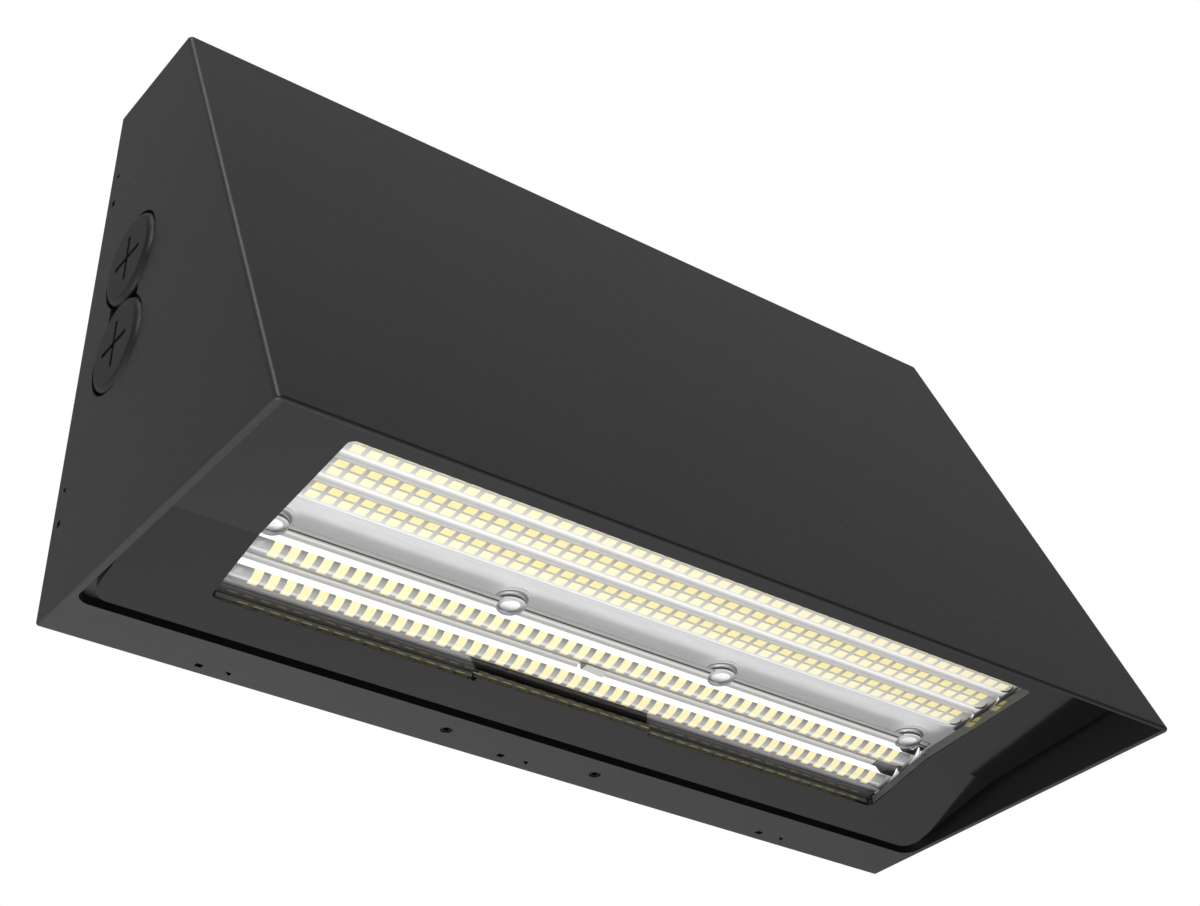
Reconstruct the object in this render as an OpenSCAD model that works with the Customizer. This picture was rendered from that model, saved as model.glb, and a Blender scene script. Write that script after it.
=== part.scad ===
// Wall pack light with a wedge-shaped full cut-off housing.
// The housing hangs on two pins of a wall plate and swings out from its top edge.
// Its underside holds a bent frame with one window, two clear lenses, two rows of
// boards and the heat spreader that carries them.
// Lengths are millimetres. X runs along the wall, Y points into the wall, Z is up.
// The origin is the centre of the wire entry on the wall's face.
// Each module draws in the housing's own frame: Y is zero at the housing's rear
// edge and Z is zero at its underside. at_wall() moves it to the wall's frame.

/* [Housing] */
// Width across the housing at its rear lower corners
body_w = 360; // [356:1:380]
// Height of the housing
body_h = 220.5; // [210:0.5:240]
// Depth of the underside, from the rear edge to the front edge
base_depth = 158; // [156:0.5:166]
// Depth of the flat top
top_depth = 54; // [50:0.5:60]
// Draft of the side walls towards the front, in degrees
depth_draft = 0.89; // [0.5:0.01:1]
// Draft of the side walls towards the top, in degrees
height_draft = 0.35; // [0.1:0.01:0.5]
// Thickness of the side walls
side_t = 2.8; // [2.4:0.1:3.2]
// Thickness of the top wall
top_t = 3; // [2:0.1:3.5]
// Thickness of the leaning front wall
front_t = 3; // [2.5:0.1:3.5]
// Thickness of the front wall's lip, below the ledge
lip_t = 1.6; // [1.2:0.1:2]
// Radius of the front edges and corners
edge_r = 2; // [1.5:0.1:5]
// Radius of the lower edges
foot_r = 1; // [0.5:0.1:1.2]
// Radius of the rear upper corners
rear_r = 1.5; // [1:0.1:3]
// Thickness of the rear lower flange
flange_t = 3; // [2:0.1:3]
// Depth of the rear lower flange
flange_depth = 22; // [21:0.5:23]
// Radius of the underside opening's rear corners
flange_corner_r = 5.5; // [3:0.1:8]
// Thickness of the ledge that the lens frame is screwed to
ledge_t = 3; // [2:0.1:4]
// Thickness of the riser between flange and ledge
riser_t = 3; // [2:0.1:4]
// Width of the frame's edge that lies under the ledge, at the sides
ledge_overlap = 8.5; // [7.5:0.5:9.5]
// Rear edge of the opening inside the ledge
ledge_rear_depth = 33; // [32:0.5:34]
// Front edge of the opening inside the ledge
ledge_front_depth = 138; // [137.5:0.5:139]

/* [Lens frame] */
// Depth of the bend between the frame's rear and front faces
bend_depth = 74.1; // [73:0.1:75]
// Height of that bend above the housing's underside
bend_rise = 11; // [10.8:0.1:12]
// Slope of the front face, in degrees
front_tilt = 4.66; // [4:0.01:5]
// Slope of the rear face, in degrees
rear_tilt = 12.6; // [12:0.1:12.8]
// How far the frame's side edges stay inside the housing's widest outline
frame_side_gap = 6.5; // [6.25:0.25:7.5]
// Depth at the frame's rear edge
frame_rear_depth = 26.5; // [26:0.1:28]
// Depth at the frame's front edge
frame_front_depth = 146; // [144:0.1:146.4]
// Plate thickness of the frame
frame_t = 2.5; // [2:0.1:2.5]
// Corner radius of the frame
frame_corner_r = 6; // [3:0.5:10]
// Width of the frame beside the window
window_border = 33.7; // [33:0.1:38]
// Depth at the window's rear edge
window_rear_depth = 42.1; // [41:0.1:43]
// Depth at the window's front edge
window_front_depth = 130.3; // [129:0.1:131]
// Corner radius of the window
window_corner_r = 2.5; // [1:0.1:4]
// Width of the raised lip around the window
lip_w = 3.4; // [2.5:0.1:4]
// Height of that lip's top above the frame's outer face
lip_rise = 3.4; // [3:0.1:3.6]
// Width of the locating tab on the window's rear edge
tab_w = 73; // [50:1:90]
// Reach of the locating tab
tab_reach = 1.8; // [1:0.1:2.5]
// Distance of the tab's middle from the window's middle
tab_shift = 3.5; // [0:0.5:10]

/* [Gaskets] */
// Thickness of the frame's gasket
frame_gasket_t = 1.2; // [0.8:0.1:1.4]
// Width of the frame's gasket
frame_gasket_w = 6; // [4:0.5:6.5]
// Thickness of the window's gasket
window_gasket_t = 0.6; // [0.4:0.1:0.6]
// Thickness of the foam behind the wall plate, which stands the housing off the wall
wall_gasket_t = 4.5; // [4.5:0.1:6]
// How far the foam's side edges stay inside the housing's widest outline
wall_gasket_side_gap = 6; // [5:0.5:10]

/* [Lenses] */
// Reach of both lenses past the window's sides
lens_overlap = 3.7; // [2.7:0.1:5.2]
// Thickness of the lens sheets
lens_t = 1.2; // [1:0.1:1.2]
// How much lower the rear lens and its board sit than the front ones
rear_drop = 0.6; // [0.4:0.1:0.6]
// Local depth of the front lens's rear edge, along the front face from the bend
front_lens_start = 2.9; // [2.5:0.1:3.5]
// Local depth of the front lens's front edge
front_lens_end = 60.5; // [60:0.1:62]
// Local depth of the rear lens's front edge, along the rear face from the bend
rear_lens_start = 0.8; // [0.8:0.1:1]
// Local depth of the rear lens's rear edge
rear_lens_end = 36.4; // [36:0.1:37]
// Width of the lens rims that bear on the boards
lens_rim_w = 2; // [1.5:0.1:2]
// Width of a front lens bar
front_bar_w = 11; // [9:0.1:12]
// Height of a front lens bar
front_bar_h = 1.6; // [1:0.1:2]
// Distance of a front lens bar's rounded ends from the window's sides
front_bar_margin = 2.8; // [1.8:0.1:3.8]
// Width of a rear lens bar
rear_bar_w = 10.9; // [10:0.1:11.2]
// Height of a rear lens bar
rear_bar_h = 2.9; // [2:0.1:3]
// Distance of a rear lens bar's rounded ends from the window's sides
rear_bar_margin = 0.8; // [0.3:0.1:2.8]

/* [Light sources] */
// Number of columns in each front channel
front_columns = 47; // [30:1:47]
// Distance of the outer front columns' middles from the window's sides
front_led_margin = 7.09; // [7.09:0.01:12]
// Number of front channels
channels = 3; // [1:1:3]
// Spacing of the front channels
channel_pitch = 13.45; // [12.5:0.05:13.5]
// Local depth of the middle channel
channel_mid = 36.1; // [35:0.1:37]
// Width of a front package
front_led_w = 4.2; // [3:0.1:4.6]
// Length of a front package with its two dies
front_led_l = 8.1; // [6:0.1:9]
// Number of columns in each rear row
rear_columns = 45; // [30:1:45]
// Distance of the outer rear columns' middles from the window's sides
rear_led_margin = 10; // [9:0.1:14]
// Number of rear rows
rear_rows = 2; // [1:1:2]
// Spacing of the rear rows
rear_row_pitch = 14.25; // [13.5:0.01:14.5]
// Local depth of the middle between the rear rows
rear_row_mid = 14.4; // [14:0.1:14.5]
// Width of a rear package
rear_led_w = 3.4; // [3:0.1:4]
// Length of a rear package
rear_led_l = 6.3; // [4:0.1:7]
// Height of every package
led_h = 0.7; // [0.5:0.1:0.7]
// Thickness of the boards
board_t = 1.6; // [1:0.1:1.6]
// Air between a lens sheet and the packages behind it
led_gap = 0.4; // [0.3:0.1:0.5]

/* [Heat spreader] */
// Height of the spreader's underside above the frame's outer face
carrier_rise = 10.4; // [10.4:0.1:11]
// Thickness of the spreader
carrier_t = 2.5; // [2:0.1:3]
// How far the spreader's side edges stay inside the frame's
carrier_margin = 15.5; // [13.5:0.5:16.5]
// Depth at the spreader's rear edge
carrier_rear_depth = 37; // [36:0.5:38]
// Depth at the spreader's front edge
carrier_front_depth = 135; // [134:0.5:136]
// Height of the cooling fins
fin_h = 9; // [5:0.5:12]
// Thickness of a cooling fin
fin_t = 1.8; // [1.2:0.1:2.4]
// Distance of a cooling fin's ends from the spreader's side edges
fin_margin = 43; // [38:1:80]
// Distance of the outer lens posts' axes from the window's sides
post_margin = 5.7; // [4.8:0.1:12]
// Depth of the lens posts
post_depth = 71.4; // [71:0.1:72]
// Height of the lens posts' lower faces above the underside
post_rise = 18; // [17.5:0.1:18.5]
// Radius of a lens post's head
post_r = 5; // [4:0.1:5.2]

/* [Side plugs] */
// Depth of the plugs' axes
plug_depth = 31.5; // [31:0.1:33]
// Height of the plug pair's middle above the underside
plug_mid_rise = 111.8; // [105:0.1:118]
// Spacing of the two plugs
plug_pitch = 37; // [36.5:0.1:38]
// Radius of a plug's head
plug_head_r = 17.5; // [16:0.1:17.8]
// Radius of the round pockets that the heads sit in
pocket_r = 18.5; // [18:0.1:18.5]
// Width of the waist that joins two pockets
waist_w = 22; // [10:0.5:24]
// Height of a plug's face above the side wall
plug_proud = 1.3; // [1.2:0.1:1.5]
// Rounding of a plug's edge
plug_edge_r = 2.7; // [0.5:0.1:2.7]
// Radius of a plug's threaded neck
neck_r = 13.3; // [12:0.1:13.5]
// Length of a plug's neck below its head
neck_l = 9.9; // [8:0.1:10]
// Width of the cross slot
slot_w = 2; // [1:0.1:2.4]
// Length of the cross slot
slot_l = 19; // [14:0.5:22]
// Depth of the cross slot
slot_d = 1.4; // [0.8:0.1:1.6]
// Thickness of a plug's seal
seal_t = 1.2; // [0.8:0.1:1.4]

/* [Wall plate] */
// Thickness of the wall plate
plate_t = 2.5; // [2:0.1:2.5]
// How far the wall plate's side edges stay inside the housing's widest outline
plate_side_gap = 7; // [6.5:0.5:10]
// Height of the wall plate's lower edge above the underside
plate_low = 10; // [9.5:0.5:14]
// Distance of the wall plate's upper edge below the housing's top
plate_top_gap = 20.5; // [19.5:0.5:24.5]
// Depth of the plate's stiffening rim
rim_depth = 6; // [5:0.5:8]
// Height of the wire entry above the underside
entry_rise = 110; // [105:1:115]
// Radius of the wire entry
entry_r = 14; // [11:0.5:16]
// Distance of the wall bolts from the wall plate's side edges
bolt_margin_x = 33; // [28:1:53]
// Difference between the wall plate's height and the spacing of the bolts up the wall
bolt_margin_z = 80; // [75:1:100]
// Radius of the wall bolt holes
bolt_hole_r = 3.3; // [2.8:0.1:4]
// Spacing of the junction box screws
box_span = 88.9; // [83:0.1:89]
// Radius of the junction box screw holes
box_hole_r = 2.4; // [2.1:0.1:2.6]

/* [Hinge and lock] */
// Depth of the hinge axis
hinge_depth = 7; // [7:0.1:7.5]
// Height of the hinge axis below the housing's top
hinge_drop = 8; // [8:0.1:8.5]
// Radius of the hinge pins
pin_r = 2.5; // [2:0.1:2.5]
// Running clearance of the pins in the wall plate's lugs
pin_clearance = 0.05; // [0.02:0.01:0.1]
// Distance of the lugs' middles from the wall plate's side edges
lug_margin = 23; // [21:1:33]
// Thickness of a hinge lug
lug_t = 4; // [3:0.1:5]
// Gap between a lug and the ear beside it
ear_gap = 0.5; // [0.3:0.1:1]
// Radius of a hinge lug and ear
lug_r = 4.5; // [4:0.1:4.5]
// Distance of the lock screws from the middle
lock_x = 32; // [28:0.5:40]
// Depth of the lock screws
lock_depth = 11.5; // [10.5:0.1:12]
// Radius of the lock screws
lock_r = 2.2; // [2:0.1:2.5]
// Gap between a lock screw's tip and the catch above it at rest
lock_gap = 0.6; // [0.5:0.1:0.8]

/* [Driver] */
// Length of the driver's case
driver_l = 210; // [180:1:220]
// Width of the driver's case, up the front wall
driver_w = 64; // [50:1:68]
// Height of the driver's case off the wall
driver_h = 28; // [22:1:30]
// Distance of the case's middle up the front wall
driver_mid = 126; // [120:1:130]
// Height of the bosses that the driver stands on
driver_boss_h = 4; // [3:0.5:5]

/* [Hidden] */
// Roundness of true round features
$fn = 64;
// Roundness of the hull's corner pieces
hull_fn = 32;
// Overrun of every cut
cut = 0.5;
// Reach of blocks that only have to pass everything
far = 400;
// Clearance between parts that lie beside each other
gap = 0.3;

// Widths that follow the housing's
frame_w = body_w - 2 * frame_side_gap;
wall_gasket_w = body_w - 2 * wall_gasket_side_gap;
plate_w = body_w - 2 * plate_side_gap;
ledge_half_w = frame_w / 2 - ledge_overlap;
carrier_half_w = frame_w / 2 - carrier_margin;
fin_l = 2 * (carrier_half_w - fin_margin);
window_w = frame_w - 2 * window_border;
lens_w = window_w + 2 * lens_overlap;
front_bar_l = window_w - 2 * front_bar_margin;
rear_bar_l = window_w - 2 * rear_bar_margin;
// Spacings that follow the window's width
front_pitch = (window_w - 2 * front_led_margin) / (front_columns - 1);
rear_pitch = (window_w - 2 * rear_led_margin) / (rear_columns - 1);
posts = 4;
post_pitch = (window_w - 2 * post_margin) / (posts - 1);
// Wall plate's upper edge, its hinge lugs and the bolts' spacing
plate_high = body_h - plate_top_gap;
lug_x = plate_w / 2 - lug_margin;
bolt_span_x = plate_w - 2 * bolt_margin_x;
bolt_span_z = plate_high - plate_low - bolt_margin_z;

// Slope of the front wall from the vertical
lean = atan((base_depth - top_depth) / body_h);
// Horizontal thickness of the front wall
front_run = front_t / cos(lean);
// Heights in the stack above the frame's outer face, front lens side
gasket_top = lip_rise + window_gasket_t;
sheet_top = gasket_top + lens_t;
led_face = sheet_top + led_gap;
board_face = led_face + led_h;
board_top = board_face + board_t;
// Underside and top of the ledge, above the frame's outer face
ledge_low = frame_t + frame_gasket_t;
ledge_top = ledge_low + ledge_t;
carrier_top = carrier_rise + carrier_t;
// Hinge axis
hinge_z = body_h - hinge_drop;
// Colours
coat = "#3b3c3e";
dark = "#2b2c2e";
seal_black = "#202122";
steel = "#b9bcc0";
clear = "#dfe6ea";
mask_white = "#d4d5d3";
phosphor = "#f4e9ae";

// Half width of the housing at depth y (negative forwards) and height z, less an inset
function side_x(y, z, inset) = body_w / 2 + y * tan(depth_draft) - z * tan(height_draft) - inset;
// Front wall's Y at height z, less a horizontal inset
function front_y(z, inset) = -base_depth + z * tan(lean) + inset;
// Height of the frame's faces at depth y, raised by rise along their normals
function front_z(y, rise) = bend_rise + (rise - sin(front_tilt) * (y + bend_depth)) / cos(front_tilt);
function rear_z(y, rise) = bend_rise + (rise - sin(rear_tilt) * (y + bend_depth)) / cos(rear_tilt);
// Where a line over the front face meets a line over the rear face
function bend_at(front, rear) =
    let (turn = sin(front_tilt - rear_tilt))
    [-bend_depth + (front * cos(rear_tilt) - rear * cos(front_tilt)) / turn,
     bend_rise + (rear * sin(front_tilt) - front * sin(rear_tilt)) / turn];

// Moves a shape from the housing's frame to the wall's frame
module at_wall() {
    translate([0, -wall_gasket_t, -entry_rise]) children();
}

// Local frames on the window frame: y runs to the rear along the face, z is its normal
module on_front() {
    translate([0, -bend_depth, bend_rise]) rotate([-front_tilt, 0, 0]) children();
}
module on_rear() {
    translate([0, -bend_depth, bend_rise]) rotate([-rear_tilt, 0, 0]) children();
}

// Local frame on the inside of the front wall: y runs up the slope, inwards is minus z
module on_front_wall() {
    translate([0, -base_depth + front_run, 0]) rotate([90 - lean, 0, 0]) children();
}

// A profile drawn in depth and height, carried along X
module along_x(width) {
    rotate([90, 0, 90]) linear_extrude(width, center = true) children();
}

// A plan outline with four round corners, by its half width, rear and front depths
module plan_outline(half_w, rear, front, r) {
    translate([-half_w + r, -front]) square([2 * (half_w - r), front - rear]);
    translate([-half_w, -front + r]) square([2 * half_w, front - rear - 2 * r]);
    for (x = [-half_w + r, half_w - r], y = [-front + r, -rear - r])
        translate([x, y]) circle(r);
}
module plan_block(half_w, rear, front, r) {
    translate([0, 0, -far / 2]) linear_extrude(far) plan_outline(half_w, rear, front, r);
}

// A bent band that follows the frame's two faces between two heights
// Each height is a pair, for the front face and the rear face
module vee_band(low, high, rear, front, half_w) {
    along_x(2 * half_w) polygon([
        [-rear, rear_z(-rear, low[1])], bend_at(low[0], low[1]), [-front, front_z(-front, low[0])],
        [-front, front_z(-front, high[0])], bend_at(high[0], high[1]), [-rear, rear_z(-rear, high[1])]]);
}

// A prism over an outline in depth and height, whose ends follow the side walls' draft
module drafted_prism(outline, inset) {
    n = len(outline);
    polyhedron(
        points = concat([for (p = outline) [side_x(p[0], p[1], inset), p[0], p[1]]],
                        [for (p = outline) [-side_x(p[0], p[1], inset), p[0], p[1]]]),
        faces = concat([[for (i = [n - 1:-1:0]) i]], [[for (i = [0:n - 1]) n + i]],
                       [for (i = [0:n - 1]) [i, (i + 1) % n, n + (i + 1) % n, n + i]]));
}

// A box whose middle sits at x and y, from one height to another
module block(x, y, size_x, size_y, low, high) {
    translate([x - size_x / 2, y - size_y / 2, low]) cube([size_x, size_y, high - low]);
}

// A pan head screw along Z: the head stands on zero, the shank hangs below it
module pan_screw(shank_r, shank_l, head_r, head_h) {
    recess_w = head_r / 4;
    recess_l = head_r * 1.2;
    recess_d = head_h / 2;
    difference() {
        union() {
            cylinder(r = head_r, h = head_h * 0.6);
            translate([0, 0, head_h * 0.6]) cylinder(r1 = head_r, r2 = head_r * 0.75, h = head_h * 0.4);
            translate([0, 0, -shank_l]) cylinder(r = shank_r, h = shank_l + cut);
        }
        for (turn = [0, 90])
            rotate([0, 0, turn]) block(0, 0, recess_l, recess_w, head_h - recess_d, head_h + cut);
    }
}

// Housing: a die-cast aluminium wedge, open at the back and underneath

module shell_block() {
    slab = foot_r;
    hull() for (side = [-1, 1]) {
        translate([side * side_x(0, foot_r, foot_r), -slab, foot_r])
            rotate([-90, 0, 0]) cylinder(r = foot_r, h = slab, $fn = hull_fn);
        translate([side * side_x(0, body_h - rear_r, rear_r), -slab, body_h - rear_r])
            rotate([-90, 0, 0]) cylinder(r = rear_r, h = slab, $fn = hull_fn);
        top_y = front_y(body_h - edge_r, edge_r / cos(lean));
        translate([side * side_x(top_y, body_h - edge_r, edge_r), top_y, body_h - edge_r])
            sphere(edge_r, $fn = hull_fn);
        foot_y = front_y(foot_r, edge_r - foot_r + foot_r / cos(lean));
        translate([side * side_x(foot_y, foot_r, edge_r), foot_y, foot_r])
            rotate_extrude($fn = hull_fn) translate([edge_r - foot_r, 0]) circle(foot_r, $fn = hull_fn);
    }
}

// Everything under the ledge's top, which the upper hollow leaves alone
module below_ledge() {
    back = -flange_depth + riser_t;
    along_x(2 * far) polygon([
        [back, -far], [back, rear_z(back, ledge_top)], bend_at(ledge_top, ledge_top),
        [-far, front_z(-far, ledge_top)], [-far, -far]]);
}
module upper_hollow() {
    roof = body_h - top_t;
    difference() {
        drafted_prism([[cut, flange_t], [cut, roof], [front_y(roof, front_run), roof],
                       [front_y(flange_t, front_run), flange_t]], side_t);
        below_ledge();
    }
}
belly_h = 3 * bend_rise;
module lower_hollow() {
    high = belly_h;
    intersection() {
        drafted_prism([[-flange_depth, -cut], [-flange_depth, high], [front_y(high, lip_t), high],
                       [front_y(-cut, lip_t), -cut]], side_t);
        along_x(2 * far) polygon([
            [0, -far], [0, rear_z(0, ledge_low)], bend_at(ledge_low, ledge_low),
            [-far, front_z(-far, ledge_low)], [-far, -far]]);
    }
}

// Rounds the rear corners of the underside opening
module flange_corners() {
    for (side = [-1, 1])
        translate([side * side_x(-flange_depth, 0, side_t), -flange_depth, 0])
            difference() {
                block(-side * flange_corner_r / 2, -flange_corner_r / 2,
                      flange_corner_r, flange_corner_r, 0, flange_t);
                translate([-side * flange_corner_r, -flange_corner_r, -cut])
                    cylinder(r = flange_corner_r, h = flange_t + 2 * cut);
            }
}

// Side plugs: places on a side wall, with x pointing out of the housing
plug_low_rise = plug_mid_rise - plug_pitch / 2;
plug_high_rise = plug_mid_rise + plug_pitch / 2;
plug_wall_x = side_x(-plug_depth, plug_mid_rise, 0);
plug_face_x = plug_wall_x + plug_proud;
plug_sunk = 1.56;
plug_head_t = plug_proud + plug_sunk;
plug_seat_x = plug_face_x - plug_head_t;
pocket_floor_x = plug_seat_x - seal_t;
seal_w = 3;
boss_r = neck_r + 2 * side_t;
backing_r = pocket_r + side_t;
backing_x = pocket_floor_x - side_t;
boss_face_x = plug_seat_x - neck_l + seal_t;
bore_r = neck_r + pin_clearance;
// Profile of a round piece about the X axis
module about_x(x) {
    translate([x, 0, 0]) rotate([0, 90, 0]) children();
}
module at_plug(side, rise) {
    translate([0, -plug_depth, rise]) mirror([side < 0 ? 1 : 0, 0, 0]) children();
}
module plug_bosses() {
    for (side = [-1, 1]) {
        for (rise = [plug_low_rise, plug_high_rise])
            at_plug(side, rise) {
                about_x(boss_face_x) cylinder(r = boss_r, h = pocket_floor_x - boss_face_x);
                about_x(backing_x) cylinder(r = backing_r, h = side_t + seal_t);
            }
        at_plug(side, plug_mid_rise)
            translate([backing_x, -waist_w / 2 - side_t, -waist_w / 3])
                cube([side_t + seal_t, waist_w + 2 * side_t, 2 * waist_w / 3]);
    }
}
module plug_pockets() {
    for (side = [-1, 1]) {
        for (rise = [plug_low_rise, plug_high_rise])
            at_plug(side, rise) {
                about_x(pocket_floor_x) cylinder(r = pocket_r, h = far);
                about_x(boss_face_x - cut) cylinder(r = bore_r, h = far);
            }
        at_plug(side, plug_mid_rise)
            translate([pocket_floor_x, -waist_w / 2, -waist_w / 4]) cube([far, waist_w, waist_w / 2]);
    }
}

// Hinge ears under the roof, beside the wall plate's lugs
ear_x = lug_x + lug_t + ear_gap;
module hinge_ears() {
    for (side = [-1, 1])
        translate([side * ear_x, 0, 0]) {
            translate([0, -hinge_depth, hinge_z]) rotate([0, 90, 0])
                cylinder(r = lug_r, h = lug_t, center = true);
            block(0, -hinge_depth, lug_t, 2 * lug_r, hinge_z, body_h - top_t / 2);
        }
}
module hinge_bores(x, radius) {
    for (side = [-1, 1])
        translate([side * x, -hinge_depth, hinge_z]) rotate([0, 90, 0])
            cylinder(r = radius, h = 2 * lug_t, center = true);
}

// Bosses in the flange that the lock screws turn in
lock_boss_r = 2 * lock_r;
lock_boss_h = flange_t / 2;
module lock_bosses() {
    for (side = [-1, 1])
        translate([side * lock_x, -lock_depth, flange_t - cut])
            cylinder(r = lock_boss_r, h = lock_boss_h + cut);
}

// Small clip windows in the flange and the side walls, a slot and a triangle in each pair
clip_slot = [2.6, 2.4];
clip_notch = [2.6, 2.4];
flange_clip_step = 10.3;
side_clip_step = 12.8;
clip_inset = 5.2;
clip_d = 1.4;
clip_pitch = 119.7;
clip_rise_shares = [0.816, 0.19];
module clip_pair(step) {
    translate([-step / 2 - clip_slot[0] / 2, -clip_slot[1] / 2, 0])
        cube([clip_slot[0], clip_slot[1], clip_d + cut]);
    linear_extrude(clip_d + cut) polygon([
        [step / 2 - clip_notch[0] / 2, -clip_notch[1] / 2],
        [step / 2 + clip_notch[0] / 2, -clip_notch[1] / 2],
        [step / 2 + clip_notch[0] / 2, clip_notch[1] / 2]]);
}
module clip_windows() {
    for (x = [-1:1]) translate([x * clip_pitch, -clip_inset, -cut]) clip_pair(flange_clip_step);
    for (side = [-1, 1], share = clip_rise_shares)
        mirror([side < 0 ? 0 : 1, 0, 0])
            translate([-side_x(-clip_inset, share * body_h, -cut), -clip_inset, share * body_h])
                rotate([0, 90, 0]) mirror([1, 0, 0]) clip_pair(side_clip_step);
}

// Bosses on the front wall for the driver and the surge protector
driver_boss_r = 4.5;
driver_ear_gap = 2.3;
driver_hole_x = driver_l / 2 + driver_boss_r + driver_ear_gap;
driver_screw_r = 2;
driver_hole_d = 3 * driver_screw_r;
surge_l = 44;
surge_w = 26;
surge_h = 18;
surge_x = 70;
surge_mid = 192;
surge_hole_x = surge_l / 2 + driver_boss_r;
module wall_boss_places() {
    for (x = [-driver_hole_x, driver_hole_x], y = [-1, 1])
        translate([x, driver_mid + y * driver_w / 4, 0]) children();
    for (x = [-surge_hole_x, surge_hole_x])
        translate([surge_x + x, surge_mid, 0]) children();
}
module wall_bosses() {
    on_front_wall() wall_boss_places()
        translate([0, 0, -driver_boss_h]) cylinder(r = driver_boss_r, h = driver_boss_h + front_t / 2);
}

// Frame screws through the ledge: local depths on the front and the rear face
frame_screw_r = 1.5;
frame_screw_edge = 4.6;
frame_screw_x = ledge_half_w + frame_screw_edge;
frame_screw_front_shares = [-0.86, -0.195];
frame_screw_rear_share = 0.63;
frame_hole_d = frame_t * 0.7;
module frame_screw_places() {
    for (side = [-1, 1]) {
        for (share = frame_screw_front_shares) on_front()
            translate([side * frame_screw_x, share * (frame_front_depth - bend_depth), 0]) children();
        on_rear() translate([side * frame_screw_x,
                             frame_screw_rear_share * (bend_depth - frame_rear_depth), 0]) children();
    }
}

module housing() {
    color(coat) difference() {
        union() {
            difference() {
                shell_block();
                upper_hollow();
                lower_hollow();
            }
            flange_corners();
            plug_bosses();
            hinge_ears();
            lock_bosses();
            wall_bosses();
        }
        plan_block_between(ledge_half_w, ledge_rear_depth, ledge_front_depth, frame_corner_r,
                           0, belly_h);
        plug_pockets();
        hinge_bores(ear_x, pin_r);
        for (side = [-1, 1])
            translate([side * lock_x, -lock_depth, -cut])
                cylinder(r = lock_r + pin_clearance, h = flange_t + lock_boss_h + 2 * cut);
        clip_windows();
        frame_screw_places() cylinder(r = frame_screw_r + pin_clearance, h = ledge_top + cut);
        on_front_wall() wall_boss_places()
            translate([0, 0, -driver_boss_h - cut]) cylinder(r = driver_screw_r, h = driver_hole_d);
    }
}
module plan_block_between(half_w, rear, front, r, low, high) {
    translate([0, 0, low]) linear_extrude(high - low) plan_outline(half_w, rear, front, r);
}

// Hinge pins: steel, headed on the lug's side, tight in the housing's ears
module hinge_pins() {
    head_t = lug_t / 4;
    head_r = pin_r * 1.6;
    start = lug_x - lug_t / 2 - gap - head_t;
    finish = ear_x + lug_t / 2 + head_t;
    color(steel) for (side = [-1, 1])
        mirror([side < 0 ? 1 : 0, 0, 0]) translate([start, -hinge_depth, hinge_z]) rotate([0, 90, 0]) {
            cylinder(r = head_r, h = head_t);
            cylinder(r = pin_r, h = finish - start);
        }
}

// Lens frame: a bent casting with one window, a lip round it and posts for the spreader
standoff_r = 4;
standoff_edge = 1;
standoff_x = carrier_half_w - standoff_r - standoff_edge;
carrier_front_l = carrier_front_depth - bend_depth;
carrier_rear_l = bend_depth - carrier_rear_depth;
standoff_front_shares = [-0.92, -0.164];
standoff_rear_share = 0.81;
carrier_screw_r = 1.5;
carrier_screw_grip = 6;
module standoff_places() {
    for (side = [-1, 1]) {
        for (share = standoff_front_shares) on_front()
            translate([side * standoff_x, share * carrier_front_l, 0]) children();
        on_rear() translate([side * standoff_x, standoff_rear_share * carrier_rear_l, 0]) children();
    }
}
module window_block() {
    plan_block(window_w / 2, window_rear_depth, window_front_depth, window_corner_r);
}
module lens_frame() {
    lip_low = frame_t / 2;
    color(coat) difference() {
        union() {
            difference() {
                union() {
                    intersection() {
                        vee_band([0, 0], [frame_t, frame_t],
                                 frame_rear_depth, frame_front_depth, frame_w / 2);
                        plan_block(frame_w / 2, frame_rear_depth, frame_front_depth, frame_corner_r);
                    }
                    intersection() {
                        vee_band([lip_low, lip_low], [lip_rise, lip_rise - rear_drop],
                                 window_rear_depth - lip_w, window_front_depth + lip_w, frame_w / 2);
                        plan_block(window_w / 2 + lip_w, window_rear_depth - lip_w,
                                   window_front_depth + lip_w, window_corner_r + lip_w);
                    }
                }
                window_block();
            }
            intersection() {
                vee_band([0, 0], [lip_rise, lip_rise - rear_drop],
                         frame_rear_depth, bend_depth + lip_w, frame_w / 2);
                block(-tab_shift, -window_rear_depth - tab_reach / 2 + cut / 2,
                      tab_w, tab_reach + cut, -far, far);
            }
            standoff_places() translate([0, 0, lip_low]) cylinder(r = standoff_r, h = carrier_rise - lip_low);
        }
        standoff_places() translate([0, 0, carrier_rise - carrier_screw_grip])
            cylinder(r = carrier_screw_r + pin_clearance, h = carrier_screw_grip + cut);
        frame_screw_places() translate([0, 0, frame_t - frame_hole_d])
            cylinder(r = frame_screw_r + pin_clearance, h = frame_hole_d + cut);
    }
}

// Gasket between the frame and the ledge: flat silicone with holes for the screws
module frame_gasket() {
    inset = 0.5;
    color(seal_black) difference() {
        intersection() {
            vee_band([frame_t, frame_t], [ledge_low, ledge_low],
                     frame_rear_depth + inset, frame_front_depth - 2 * inset, frame_w / 2);
            plan_block(frame_w / 2 - inset, frame_rear_depth + inset,
                       frame_front_depth - 2 * inset, frame_corner_r - inset);
        }
        plan_block(frame_w / 2 - inset - frame_gasket_w, frame_rear_depth + inset + frame_gasket_w,
                   frame_front_depth - 2 * inset - frame_gasket_w, frame_corner_r);
        frame_screw_places() cylinder(r = frame_screw_r + pin_clearance, h = ledge_top);
    }
}
module frame_screws() {
    color(steel) frame_screw_places() translate([0, 0, ledge_top])
        pan_screw(frame_screw_r, ledge_t + frame_gasket_t + frame_hole_d - gap, 2 * frame_screw_r - gap,
                  1.4 * frame_screw_r);
}

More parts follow.
